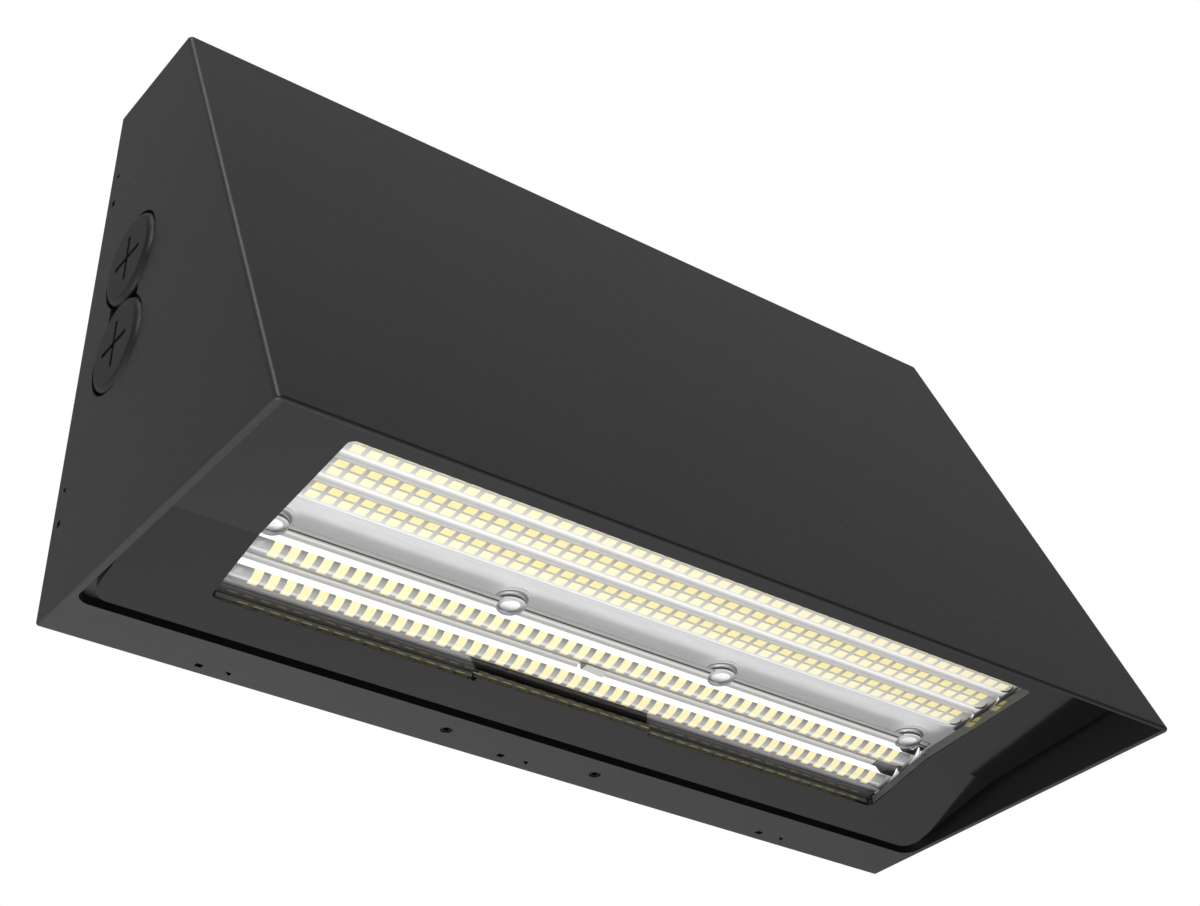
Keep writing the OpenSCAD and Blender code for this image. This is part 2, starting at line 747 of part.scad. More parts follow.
// Gasket between the window's lip and the lenses
module window_gasket() {
    color(seal_black) difference() {
        intersection() {
            vee_band([lip_rise, lip_rise - rear_drop], [gasket_top, gasket_top - rear_drop],
                     window_rear_depth - lip_w + gap, window_front_depth + lip_w - gap, frame_w / 2);
            plan_block(window_w / 2 + lip_w - gap, window_rear_depth - lip_w + gap,
                       window_front_depth + lip_w - gap, window_corner_r + lip_w - gap);
        }
        plan_block(window_w / 2 + gap, window_rear_depth - gap, window_front_depth + gap,
                   window_corner_r + gap);
    }
}

// Lenses: clear acrylic sheets with long bars over the light sources and a rim behind
module bar_profile(width, height) {
    r = (width * width / 4 + height * height) / (2 * height);
    intersection() {
        translate([0, r - height]) circle(r);
        translate([-width / 2, -height]) square([width, height + cut / 2]);
    }
}
module lens_bar(length, width, height) {
    straight = length - width;
    along_x(straight) bar_profile(width, height);
    for (side = [-1, 1])
        translate([side * straight / 2, 0, 0])
            rotate_extrude() intersection() {
                bar_profile(width, height);
                translate([0, -height]) square([width, height + cut / 2]);
            }
}
// A sheet with a rim on its back, between two local depths
module lens_sheet(from_y, to_y, low) {
    difference() {
        block(0, (from_y + to_y) / 2, lens_w, to_y - from_y, low, low + lens_t + led_gap + led_h);
        block(0, (from_y + to_y) / 2, lens_w - 2 * lens_rim_w, to_y - from_y - 2 * lens_rim_w,
              low + lens_t, far);
    }
}
function channel_y(i) = -channel_mid + (i - (channels - 1) / 2) * channel_pitch;
function row_y(i) = rear_row_mid + (i - (rear_rows - 1) / 2) * rear_row_pitch;
module front_lens() {
    color(clear, 0.35) on_front() {
        lens_sheet(-front_lens_end, -front_lens_start, gasket_top);
        for (i = [0:channels - 1])
            translate([0, channel_y(i), gasket_top]) lens_bar(front_bar_l, front_bar_w, front_bar_h);
    }
}
module rear_lens() {
    foot_r = post_r / 2;
    foot_low = rear_z(-post_depth, gasket_top - rear_drop + lens_t / 2);
    color(clear, 0.35) {
        on_rear() {
            lens_sheet(rear_lens_start, rear_lens_end, gasket_top - rear_drop);
            for (i = [0:rear_rows - 1])
                translate([0, row_y(i) - rear_bar_w / 12, gasket_top - rear_drop])
                    lens_bar(rear_bar_l, rear_bar_w, rear_bar_h);
        }
        for (x = post_places)
            translate([x, -post_depth, foot_low]) cylinder(r = foot_r, h = post_rise - foot_low);
    }
}

// Boards: aluminium with a white mask, face down
front_board_start = channel_mid - channel_pitch * (channels - 1) / 2 - front_led_l * 0.9;
front_board_end = front_lens_end;
rear_board_start = rear_row_mid - rear_row_pitch * (rear_rows - 1) / 2 - rear_led_l * 0.53;
rear_board_end = rear_row_mid + rear_row_pitch * (rear_rows - 1) / 2 + rear_led_l * 1.1;
module front_led_board() {
    color(mask_white) on_front()
        block(0, -(front_board_end + front_board_start) / 2, lens_w,
              front_board_end - front_board_start, board_face, board_top);
}
module rear_led_board() {
    color(mask_white) on_rear()
        block(0, (rear_board_start + rear_board_end) / 2, lens_w,
              rear_board_end - rear_board_start, board_face - rear_drop, board_top - rear_drop);
}
module front_leds() {
    color(phosphor) on_front()
        for (c = [0:front_columns - 1], i = [0:channels - 1])
            block((c - (front_columns - 1) / 2) * front_pitch, channel_y(i),
                  front_led_w, front_led_l, led_face, board_face);
}
module rear_leds() {
    color(phosphor) on_rear()
        for (c = [0:rear_columns - 1], i = [0:rear_rows - 1])
            block((c - (rear_columns - 1) / 2) * rear_pitch, row_y(i),
                  rear_led_w, rear_led_l, led_face - rear_drop, board_face - rear_drop);
}

// Heat spreader: a bent aluminium plate with pads for the boards and fins on its back
post_places = [for (i = [0:posts - 1]) (i - (posts - 1) / 2) * post_pitch];
post_head_h = 3;
post_seat_z = post_rise + post_head_h;
post_shank_r = post_r / 2;
front_fin_shares = [-0.82, -0.66, -0.49, -0.33];
rear_fin_shares = [0.38, 0.65];
connector_w = 16;
connector_l = 7;
connector_h = 6;
connector_margin = 43.5;
connector_x = connector_margin - lens_w / 2;
front_connector_y = -26;
rear_connector_y = rear_row_mid;
module connector_holes() {
    on_front() block(connector_x, front_connector_y, connector_w + 4 * gap, connector_l + 4 * gap,
                     board_top - cut, far);
    on_rear() block(connector_x, rear_connector_y, connector_w + 4 * gap, connector_l + 4 * gap,
                    board_top - rear_drop - cut, far);
}
module led_carrier() {
    pad_low = board_top;
    color(steel) difference() {
        union() {
            vee_band([carrier_rise, carrier_rise], [carrier_top, carrier_top],
                     carrier_rear_depth, carrier_front_depth, carrier_half_w);
            on_front() {
                block(0, -(front_board_end + front_board_start) / 2, lens_w,
                      front_board_end - front_board_start, pad_low, carrier_rise + cut);
                for (share = front_fin_shares)
                    block(0, share * carrier_front_l, fin_l, fin_t, carrier_top - cut, carrier_top + fin_h);
            }
            on_rear() {
                block(0, (rear_board_start + rear_board_end) / 2, lens_w,
                      rear_board_end - rear_board_start, pad_low - rear_drop, carrier_rise + cut);
                for (share = rear_fin_shares)
                    block(0, share * carrier_rear_l, fin_l, fin_t, carrier_top - cut, carrier_top + fin_h);
            }
            for (x = post_places) translate([x, -post_depth, post_seat_z])
                cylinder(r = post_r * 1.3, h = carrier_t);
        }
        for (x = post_places) translate([x, -post_depth, -far]) {
            cylinder(r = post_r * 1.3, h = far + post_seat_z);
            cylinder(r = post_shank_r + pin_clearance, h = 2 * far);
        }
        standoff_places() cylinder(r = carrier_screw_r + pin_clearance, h = far);
        connector_holes();
    }
}
module carrier_screws() {
    color(steel) standoff_places() translate([0, 0, carrier_top])
        pan_screw(carrier_screw_r, carrier_t + carrier_screw_grip - gap, 2 * carrier_screw_r - gap,
                  1.4 * carrier_screw_r);
}

// Lens posts: clear polycarbonate studs pushed through the spreader at its bend
module lens_posts() {
    flange_h = 0.8;
    catch_z = post_seat_z + carrier_t + carrier_t / 2;
    catch_h = 1.5;
    color(clear, 0.35) for (x = post_places) translate([x, -post_depth, 0]) {
        translate([0, 0, post_rise]) cylinder(r = post_r, h = post_seat_z - flange_h - post_rise);
        translate([0, 0, post_seat_z - flange_h]) cylinder(r = post_r * 1.16, h = flange_h);
        translate([0, 0, post_seat_z - flange_h])
            cylinder(r = post_shank_r, h = catch_z + catch_h - post_seat_z + flange_h);
        translate([0, 0, catch_z]) cylinder(r1 = post_shank_r * 1.4, r2 = post_shank_r, h = catch_h);
    }
}

// Board connectors: white plugs on the boards' backs, in openings of the spreader
module board_connectors() {
    color(mask_white) {
        on_front() block(connector_x, front_connector_y, connector_w, connector_l,
                         board_top, board_top + connector_h);
        on_rear() block(connector_x, rear_connector_y, connector_w, connector_l,
                        board_top - rear_drop, board_top - rear_drop + connector_h);
    }
}

// Board leads: an arch of two wires between the connectors, and two wires to the driver
lead_r = 1.1;
lead_step = 4;
module lead_arch() {
    start_y = -bend_depth + front_connector_y * cos(front_tilt);
    finish_y = -bend_depth + rear_connector_y * cos(rear_tilt);
    start = [start_y, front_z(start_y, board_top + connector_h + gap)];
    finish = [finish_y, rear_z(finish_y, board_top - rear_drop + connector_h + gap)];
    span = norm(finish - start);
    mid = (start + finish) / 2;
    slope = atan2(finish[1] - start[1], finish[0] - start[0]);
    for (x = [connector_x - lead_step, connector_x])
        translate([x, mid[0], mid[1]]) rotate([slope, 0, 0]) rotate([0, 0, 90]) rotate([90, 0, 0])
            rotate_extrude(angle = 180) translate([span / 2, 0]) circle(lead_r);
}
module led_leads() {
    color(seal_black) lead_arch();
}

// Driver: a folded steel case on the front wall with a cover that faces the wall plate
driver_wall = 1;
driver_flange_l = driver_hole_x + driver_boss_r - driver_l / 2;
module driver_case() {
    low = driver_boss_h;
    color(steel) on_front_wall() difference() {
        union() {
            block(0, driver_mid, driver_l, driver_w, -low - driver_h, -low);
            block(0, driver_mid, driver_l + 2 * driver_flange_l, driver_w, -low - 2 * driver_wall, -low);
        }
        block(0, driver_mid, driver_l - 2 * driver_wall, driver_w - 2 * driver_wall,
              -low - driver_h - cut, -low - 2 * driver_wall);
        for (x = [-driver_hole_x, driver_hole_x], y = [-1, 1])
            translate([x, driver_mid + y * driver_w / 4, -low - 2 * driver_wall - cut])
                cylinder(r = driver_screw_r + pin_clearance, h = 2 * driver_wall + 2 * cut);
    }
}
module driver_cover() {
    low = driver_boss_h + driver_h;
    core_inset = driver_wall + gap;
    color(mask_white) on_front_wall() {
        block(0, driver_mid, driver_l, driver_w, -low - driver_wall, -low);
        block(0, driver_mid, driver_l - 2 * core_inset, driver_w - 2 * core_inset,
              -low - cut, -low + 4 * driver_wall);
    }
}
module driver_screws() {
    head_h = 2.4;
    color(steel) on_front_wall() {
        for (x = [-driver_hole_x, driver_hole_x], y = [-1, 1])
            translate([x, driver_mid + y * driver_w / 4, -driver_boss_h - 2 * driver_wall])
                mirror([0, 0, 1]) pan_screw(driver_screw_r, driver_hole_d, 1.9 * driver_screw_r, head_h);
        for (x = [-surge_hole_x, surge_hole_x])
            translate([surge_x + x, surge_mid, -driver_boss_h - 2 * driver_wall])
                mirror([0, 0, 1]) pan_screw(driver_screw_r, driver_hole_d, 1.9 * driver_screw_r, head_h);
    }
}
module surge_protector() {
    low = driver_boss_h;
    color(dark) on_front_wall() difference() {
        union() {
            block(surge_x, surge_mid, surge_l, surge_w, -low - surge_h, -low);
            block(surge_x, surge_mid, 2 * (surge_hole_x + driver_boss_r), 2 * driver_boss_r,
                  -low - 2 * driver_wall, -low);
        }
        for (x = [-surge_hole_x, surge_hole_x])
            translate([surge_x + x, surge_mid, -low - 2 * driver_wall - cut])
                cylinder(r = driver_screw_r + pin_clearance, h = 2 * driver_wall + 2 * cut);
    }
}

// Lock screws: socket set screws in the flange, which press on the wall plate's catches
catch_room = 2.1;
catch_z = flange_t + lock_boss_h + catch_room;
module lock_screw(side) {
    socket_d = flange_t * 0.8;
    color(dark) translate([side * lock_x, -lock_depth, 0]) difference() {
        translate([0, 0, gap]) cylinder(r = lock_r, h = catch_z - lock_gap - gap);
        translate([0, 0, gap - cut]) cylinder(r = lock_r * 0.55, h = socket_d + cut, $fn = 6);
    }
}
module lock_screw_left() { lock_screw(-1); }
module lock_screw_right() { lock_screw(1); }

// Side plugs: moulded heads with a cross slot on threaded necks, each over a flat seal
module plug_profile() {
    quarter = 24;
    mid = [plug_head_r - plug_edge_r, plug_head_t - plug_edge_r];
    corner = [for (i = [0:quarter]) mid + plug_edge_r * [cos(90 * i / quarter), sin(90 * i / quarter)]];
    polygon(concat([[0, -neck_l], [neck_r - 2 * gap, -neck_l], [neck_r, -neck_l + 2 * gap], [neck_r, 0],
                    [plug_head_r, 0]], corner, [[0, plug_head_t]]));
}
module side_plug(side, rise) {
    color(coat) at_plug(side, rise) difference() {
        about_x(plug_seat_x) rotate_extrude() plug_profile();
        translate([plug_face_x - slot_d, -slot_l / 2, -slot_w / 2]) cube([slot_d + cut, slot_l, slot_w]);
        translate([plug_face_x - slot_d, -slot_w / 2, -slot_l / 2]) cube([slot_d + cut, slot_w, slot_l]);
    }
}
module plug_seal(side, rise) {
    color(seal_black) at_plug(side, rise) about_x(pocket_floor_x) difference() {
        cylinder(r = neck_r + seal_w, h = seal_t);
        translate([0, 0, -cut]) cylinder(r = neck_r + gap, h = seal_t + 2 * cut);
    }
}
module upper_left_plug() { side_plug(-1, plug_high_rise); }
module lower_left_plug() { side_plug(-1, plug_low_rise); }
module upper_right_plug() { side_plug(1, plug_high_rise); }
module lower_right_plug() { side_plug(1, plug_low_rise); }
module upper_left_seal() { plug_seal(-1, plug_high_rise); }
module lower_left_seal() { plug_seal(-1, plug_low_rise); }
module upper_right_seal() { plug_seal(1, plug_high_rise); }
module lower_right_seal() { plug_seal(1, plug_low_rise); }

// Wall plate: pressed steel with a rim, hinge lugs, catches and its holes
catch_w = 6 * lock_r;
catch_reach = lock_depth + 2 * lock_r;
terminal_x = 62;
terminal_z = 46;
terminal_w = 38;
terminal_l = 20;
terminal_h = 14;
terminal_screw_r = 1.6;
terminal_screw_x = terminal_w / 2 - 2.5 * terminal_screw_r;
ground_x = -62;
ground_z = 46;
ground_r = 2.1;
plate_corner_r = 6;
module back_plate_outline() {
    h = plate_high - plate_low;
    rotate([90, 0, 0]) linear_extrude(plate_t)
        translate([0, (plate_low + plate_high) / 2]) {
            square([plate_w - 2 * plate_corner_r, h], center = true);
            square([plate_w, h - 2 * plate_corner_r], center = true);
            for (x = [-1, 1], z = [-1, 1])
                translate([x * (plate_w / 2 - plate_corner_r), z * (h / 2 - plate_corner_r)])
                    circle(plate_corner_r);
        }
}
module along_y(x, z, from_y, to_y, radius) {
    translate([x, from_y, z]) rotate([-90, 0, 0]) cylinder(r = radius, h = to_y - from_y);
}
module wall_holes() {
    along_y(0, entry_rise, -far, far, entry_r);
    for (x = [-1, 1], z = [-1, 1])
        along_y(x * bolt_span_x / 2, entry_rise + z * bolt_span_z / 2, -far, far, bolt_hole_r);
    for (x = [-1, 1]) along_y(x * box_span / 2, entry_rise, -far, far, box_hole_r);
}
module back_plate() {
    rim_t = plate_t * 0.8;
    lug_foot = plate_t * 4;
    color(steel) difference() {
        union() {
            back_plate_outline();
            for (side = [-1, 1]) {
                block(side * (plate_w - rim_t) / 2, -rim_depth / 2, rim_t, rim_depth,
                      plate_low + 3 * plate_corner_r, plate_high - 3 * plate_corner_r);
                translate([side * lug_x, 0, 0]) {
                    translate([0, -hinge_depth, hinge_z]) rotate([0, 90, 0])
                        cylinder(r = lug_r, h = lug_t, center = true);
                    block(0, -hinge_depth, lug_t, 2 * lug_r, plate_high - lug_foot, hinge_z);
                    block(0, -(hinge_depth + lug_r) / 2, lug_t, hinge_depth + lug_r,
                          plate_high - lug_foot, plate_high - lug_foot / 4);
                }
                block(side * lock_x, -catch_reach / 2, catch_w, catch_reach, catch_z, catch_z + plate_t);
                block(side * lock_x, -plate_t / 2, catch_w, plate_t, catch_z,
                      plate_low + 2 * plate_corner_r);
            }
        }
        hinge_bores(lug_x, pin_r + pin_clearance);
        wall_holes();
        for (x = [-1, 1])
            along_y(terminal_x + x * terminal_screw_x, entry_rise + terminal_z, -far, far,
                    terminal_screw_r + pin_clearance);
        along_y(ground_x, entry_rise + ground_z, -far, far, ground_r + pin_clearance);
    }
}

// Wall gasket: closed-cell foam behind the wall plate
module wall_gasket() {
    color(seal_black) difference() {
        block(0, wall_gasket_t / 2, wall_gasket_w, wall_gasket_t, plate_low, plate_high);
        wall_holes();
    }
}

// Supply terminal and its screws, and the ground screw
module terminal_block() {
    pole_w = terminal_w / 5;
    color(mask_white) translate([terminal_x, -plate_t, entry_rise + terminal_z]) difference() {
        block(0, -terminal_h / 2, terminal_w, terminal_h, -terminal_l / 2, terminal_l / 2);
        for (x = [-1:1])
            translate([x * pole_w, -terminal_h * 0.6, -terminal_l / 2 - cut])
                cylinder(r = pole_w * 0.3, h = terminal_l * 0.4 + cut);
        for (x = [-1, 1])
            along_y(x * terminal_screw_x, 0, -far, cut, terminal_screw_r + pin_clearance);
    }
}
module terminal_screws() {
    color(steel) for (x = [-1, 1])
        translate([terminal_x + x * terminal_screw_x, -plate_t - terminal_h, entry_rise + terminal_z])
            rotate([90, 0, 0]) pan_screw(terminal_screw_r, terminal_h + plate_t - gap, 2 * terminal_screw_r,
                                         1.3 * terminal_screw_r);
}
module ground_screw() {
    color("#3f7d4a") translate([ground_x, -plate_t, entry_rise + ground_z])
        rotate([90, 0, 0]) pan_screw(ground_r, plate_t - gap / 2, 2 * ground_r, 1.3 * ground_r);
}

at_wall() back_plate();
at_wall() wall_gasket();
at_wall() ground_screw();
at_wall() terminal_block();
at_wall() terminal_screws();
at_wall() housing();
at_wall() hinge_pins();
at_wall() lens_frame();
at_wall() frame_gasket();
at_wall() frame_screws();
at_wall() window_gasket();
at_wall() front_lens();
at_wall() rear_lens();
at_wall() front_led_board();
at_wall() rear_led_board();
at_wall() front_leds();
at_wall() rear_leds();
at_wall() led_carrier();
at_wall() carrier_screws();
at_wall() lens_posts();
at_wall() board_connectors();
at_wall() led_leads();
at_wall() driver_case();
at_wall() driver_cover();
at_wall() driver_screws();
at_wall() surge_protector();
at_wall() lock_screw_left();
at_wall() lock_screw_right();
at_wall() upper_left_seal();
at_wall() upper_left_plug();
at_wall() lower_left_seal();
at_wall() lower_left_plug();
at_wall() upper_right_seal();
at_wall() upper_right_plug();
at_wall() lower_right_seal();
at_wall() lower_right_plug();
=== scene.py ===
import math

import bpy
import mathutils
import numpy as np
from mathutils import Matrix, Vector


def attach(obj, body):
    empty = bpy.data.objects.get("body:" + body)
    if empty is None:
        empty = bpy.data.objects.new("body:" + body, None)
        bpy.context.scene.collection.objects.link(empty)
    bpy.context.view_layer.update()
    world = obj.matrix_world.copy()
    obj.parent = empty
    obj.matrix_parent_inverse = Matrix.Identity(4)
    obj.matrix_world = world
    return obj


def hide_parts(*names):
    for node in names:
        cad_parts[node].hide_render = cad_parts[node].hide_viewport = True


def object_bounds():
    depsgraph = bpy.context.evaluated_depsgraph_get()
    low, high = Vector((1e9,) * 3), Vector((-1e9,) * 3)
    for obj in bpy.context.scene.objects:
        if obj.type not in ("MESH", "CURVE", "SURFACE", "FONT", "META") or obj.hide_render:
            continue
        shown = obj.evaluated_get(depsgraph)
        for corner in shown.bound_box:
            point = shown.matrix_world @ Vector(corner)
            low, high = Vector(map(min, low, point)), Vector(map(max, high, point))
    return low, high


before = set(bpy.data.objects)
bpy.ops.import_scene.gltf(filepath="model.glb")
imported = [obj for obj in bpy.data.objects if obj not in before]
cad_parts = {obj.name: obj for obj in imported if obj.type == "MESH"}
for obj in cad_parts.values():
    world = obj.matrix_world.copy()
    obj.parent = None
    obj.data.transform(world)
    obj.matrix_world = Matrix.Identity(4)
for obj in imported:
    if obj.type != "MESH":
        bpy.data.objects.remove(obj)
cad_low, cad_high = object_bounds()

# Camera
# It stands in front of the light, to its left and below it, and looks up into the underside.
# Its place is in metres, and its directions have a length of one, both in the frame of the wall.
camera_at = np.array([-0.3761, -0.5889, -0.4379])
look_along = np.array([0.48495, 0.67564, 0.55528])
image_right = np.array([0.81388, -0.58102, -0.00384])
image_up = np.cross(image_right, look_along)
lens_length = 62.795
sensor_width = 36
nearest_seen = 0.01


def place_camera():
    """Turns the camera so that its axes are the image's right, up and backward directions."""
    data = bpy.data.cameras.new("camera")
    data.lens = lens_length
    data.sensor_width = sensor_width
    data.clip_start = nearest_seen
    camera = bpy.data.objects.new("camera", data)
    turn = np.eye(4)
    turn[:3, 0] = image_right
    turn[:3, 1] = image_up
    turn[:3, 2] = -look_along
    turn[:3, 3] = camera_at
    camera.matrix_world = mathutils.Matrix(turn.tolist())
    bpy.context.collection.objects.link(camera)
    bpy.context.scene.camera = camera


place_camera()
bpy.context.scene.view_settings.view_transform = "Standard"

# Studio
# A pale room: white behind the light, a painted floor well below it, and a soft glow from above.
# The glow stays low in front, where a black curtain hangs, and a share of the white backdrop
# shows in every gloss. The floor glows in a painted pool of light that fades towards the right.
backdrop_white = "ffffff"
backdrop_share = 0.15
glow_shades = [(0.0, "f4f4f4"), (0.35, "ececec"), (0.5, "c8c8c8"), (0.65, "8a8a8a"), (0.8, "767676"),
               (0.925, "868687"), (1.0, "8e8e8f")]
curtain = (-0.55, -0.15)
curtain_glow = 0.1
floor_drop = 1.5
floor_half = 4.0
floor_patch = 500
pool_edge = (0.9, 2.8)
pool_glow = 0.72
floor_rough = 0.8
floor_gloss = 0.2
pattern_range = (0.3, 0.7)
lamps = [("key_lamp", (-1.2, -1.6, 1.0), 1.2, 30), ("edge_lamp", (-0.72, -0.28, 1.7), 0.5, 4),
         ("low_lamp", (-0.45, 0.1, -1.35), 0.8, 12)]


def linear(code):
    """Turns a hex colour in sRGB, such as "3c3d3f", into linear red, green, blue and alpha."""
    parts = [int(code[i:i + 2], 16) / 255 for i in (0, 2, 4)]
    return [c / 12.92 if c <= 0.04045 else ((c + 0.055) / 1.055) ** 2.4 for c in parts] + [1.0]


def per_metre(millimetres):
    """How many features of this size lie in a metre, which is a noise pattern's scale."""
    return 1000 / millimetres


def add_node(tree, kind, settings=None, links=None, stops=()):
    """Adds a shader node with its settings, the outputs that feed it and a ramp's stops.

    settings and links go by option name, input name or input number; stops are (place, hex)."""
    node = tree.nodes.new("ShaderNode" + kind)
    for name, value in (settings or {}).items():
        if isinstance(name, str) and hasattr(node, name):
            setattr(node, name, value)
        else:
            node.inputs[name].default_value = value
    for name, output in (links or {}).items():
        tree.links.new(output, node.inputs[name])
    for k, (place, code) in enumerate(stops):
        elements = node.color_ramp.elements
        element = elements[k] if k < len(elements) else elements.new(place)
        element.position = place
        element.color = linear(code)
    return node


def new_material(name, sockets):
    """A material, its nodes, its Principled shader with these values, and the object's coordinates."""
    material = bpy.data.materials.new(name)
    material.use_nodes = True
    tree = material.node_tree
    shader = tree.nodes["Principled BSDF"]
    for socket, value in sockets.items():
        shader.inputs[socket].default_value = value
    place = add_node(tree, "TexCoord").outputs["Object"]
    return material, tree, shader, place


def vary(tree, shader, pattern, colours=None, gloss=None, relief=None, between=pattern_range):
    """Lets a pattern, over the range that it mostly fills, blend two colours or two roughnesses.

    It can raise the surface too: relief is how strongly it shows, and its height in metres."""
    if colours:
        tone = add_node(tree, "ValToRGB", links={"Fac": pattern}, stops=list(zip(between, colours)))
        tree.links.new(tone.outputs["Color"], shader.inputs["Base Color"])
    if gloss:
        rough = add_node(tree, "MapRange", {"From Min": between[0], "From Max": between[1],
                                            "To Min": gloss[0], "To Max": gloss[1]}, {"Value": pattern})
        tree.links.new(rough.outputs["Result"], shader.inputs["Roughness"])
    if relief:
        bump = add_node(tree, "Bump", {"Strength": relief[0], "Distance": relief[1]}, {"Height": pattern})
        tree.links.new(bump.outputs["Normal"], shader.inputs["Normal"])


def light_room():
    """The world: white for camera rays, partly white for gloss, a soft glow for all the rest."""
    world = bpy.data.worlds.new("studio")
    bpy.context.scene.world = world
    world.use_nodes = True
    tree = world.node_tree
    tree.nodes.clear()
    rays = add_node(tree, "LightPath")
    gloss = add_node(tree, "Math", {"operation": "MAXIMUM"},
                     {0: rays.outputs["Is Glossy Ray"], 1: rays.outputs["Is Transmission Ray"]})
    share = add_node(tree, "Math", {"operation": "MULTIPLY", 1: backdrop_share}, {0: gloss.outputs[0]})
    seen = add_node(tree, "Math", {"operation": "MAXIMUM"},
                    {0: rays.outputs["Is Camera Ray"], 1: share.outputs[0]})
    place = add_node(tree, "TexCoord")
    split = add_node(tree, "SeparateXYZ", links={"Vector": place.outputs["Generated"]})
    height = add_node(tree, "MapRange", {"From Min": -1}, {"Value": split.outputs["Z"]})
    shade = add_node(tree, "ValToRGB", links={"Fac": height.outputs["Result"]}, stops=glow_shades)
    front = add_node(tree, "MapRange", {"From Min": curtain[0], "From Max": curtain[1],
                                        "To Min": curtain_glow}, {"Value": split.outputs["Y"]})
    glow = add_node(tree, "Background", links={"Color": shade.outputs["Color"],
                                               "Strength": front.outputs["Result"]})
    white = add_node(tree, "Background", {"Color": linear(backdrop_white)})
    mix = add_node(tree, "MixShader",
                   links={"Fac": seen.outputs[0], 1: glow.outputs[0], 2: white.outputs[0]})
    add_node(tree, "OutputWorld", links={"Surface": mix.outputs[0]})


def floor_paint():
    """Matt pale floor paint: almost white, with wide faint patches; it takes soft shadows and glows in a
    painted pool of light that fades towards the right.
    """
    material, tree, shader, place = new_material("floor_paint", {
        "Roughness": floor_rough, "Specular IOR Level": floor_gloss, "Emission Color": linear("ffffff")})
    split = add_node(tree, "SeparateXYZ", links={"Vector": place})
    pool = add_node(tree, "MapRange", {"From Min": pool_edge[0], "From Max": pool_edge[1],
                                       "To Min": pool_glow, "To Max": 0}, {"Value": split.outputs["X"]})
    tree.links.new(pool.outputs["Result"], shader.inputs["Emission Strength"])
    patches = add_node(tree, "TexNoise", {"Scale": per_metre(floor_patch)}, {"Vector": place})
    vary(tree, shader, patches.outputs["Fac"], ("e4e4e3", "ececeb"))
    return material


def lay_floor():
    """A square of floor, level, at a fixed drop below the light."""
    z = cad_low[2] - floor_drop
    corners = np.array([(-1, -1), (1, -1), (1, 1), (-1, 1)]) * floor_half
    mesh = bpy.data.meshes.new("floor")
    mesh.from_pydata([(x, y, z) for x, y in corners], [], [(0, 1, 2, 3)])
    mesh.materials.append(floor_paint())
    floor = bpy.data.objects.new("floor", mesh)
    bpy.context.collection.objects.link(floor)


def hang_lamp(name, at, size, watts):
    """A square soft lamp at a point, turned to face the middle of the light."""
    data = bpy.data.lights.new(name, "AREA")
    data.size = size
    data.energy = watts
    lamp = bpy.data.objects.new(name, data)
    back = np.subtract(at, (np.array(cad_low) + cad_high) / 2)
    lamp.location = at
    tip = math.atan2(math.hypot(back[0], back[1]), back[2])
    lamp.rotation_euler = (0, tip, math.atan2(back[1], back[0]))
    bpy.context.collection.objects.link(lamp)


light_room()
lay_floor()
for lamp in lamps:
    hang_lamp(*lamp)

# Housing
# A die casting of aluminium with a dark powder coat, baked on after casting.
# The melted powder leaves a satin skin with a fine orange peel and hardly any colour of its own.
orange_peel = 1.4
peel_relief = 0.00001
coat_patch = 60


def powder_coat():
    """Polyester powder coat on cast aluminium: near black, satin, with a fine orange peel."""
    material, tree, shader, place = new_material("powder_coat", {"IOR": 1.5, "Specular IOR Level": 0.45})
    patches = add_node(tree, "TexNoise", {"Scale": per_metre(coat_patch)}, {"Vector": place})
    peel = add_node(tree, "TexNoise", {"Scale": per_metre(orange_peel), "Detail": 2}, {"Vector": place})
    vary(tree, shader, patches.outputs["Fac"], ("0d0d0e", "111112"))
    vary(tree, shader, peel.outputs["Fac"], gloss=(0.36, 0.42), relief=(0.5, peel_relief))
    return material


def finish_nodes(material, nodes):
    """Gives CAD nodes their material."""
    for name in nodes:
        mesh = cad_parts[name].data
        mesh.materials.clear()
        mesh.materials.append(material)


finish_nodes(powder_coat(), ["housing"])

# Lens frame
# A bent casting in the underside, screwed up against the housing's ledge from inside.
# It has the same coat, but rubbed smooth round the window, so it mirrors the lip and the lamps.
frame_peel = 3.0
frame_relief = 0.000003


def smooth_coat():
    """Powder coat with a closed, smooth skin: near black and glossy, with the faintest waves."""
    material, tree, shader, place = new_material("smooth_coat", {"IOR": 1.5, "Specular IOR Level": 0.36})
    waves = add_node(tree, "TexNoise", {"Scale": per_metre(frame_peel), "Detail": 1}, {"Vector": place})
    patches = add_node(tree, "TexNoise", {"Scale": per_metre(coat_patch)}, {"Vector": place})
    vary(tree, shader, patches.outputs["Fac"], ("090909", "0c0c0c"), (0.1, 0.13))
    vary(tree, shader, waves.outputs["Fac"], relief=(0.3, frame_relief))
    return material


finish_nodes(smooth_coat(), ["lens_frame"])

# Side plugs and their seals
# Threaded plugs moulded in black glass-filled nylon, with a cross slot for the driver, each on a
# flat silicone ring. Fibres and bloom are too fine to show, so both are drawn coarser.
glass_fibre = 0.8
silicone_grain = 1.0


def moulded_nylon():
    """Glass-filled nylon, moulded: black and dull, with the fibres' fine unevenness."""
    material, tree, shader, place = new_material("moulded_nylon", {"IOR": 1.53, "Specular IOR Level": 0.3})
    fibres = add_node(tree, "TexNoise", {"Scale": per_metre(glass_fibre), "Detail": 3}, {"Vector": place})
    vary(tree, shader, fibres.outputs["Fac"], ("0c0c0c", "101010"), (0.42, 0.5))
    return material


def silicone_rubber():
    """Cured silicone: black and dull, with a soft bloom in small patches."""
    material, tree, shader, place = new_material("silicone_rubber", {"IOR": 1.41})
    bloom = add_node(tree, "TexNoise", {"Scale": per_metre(silicone_grain), "Detail": 3}, {"Vector": place})
    vary(tree, shader, bloom.outputs["Fac"], ("131314", "1b1b1c"), (0.5, 0.65))
    return material


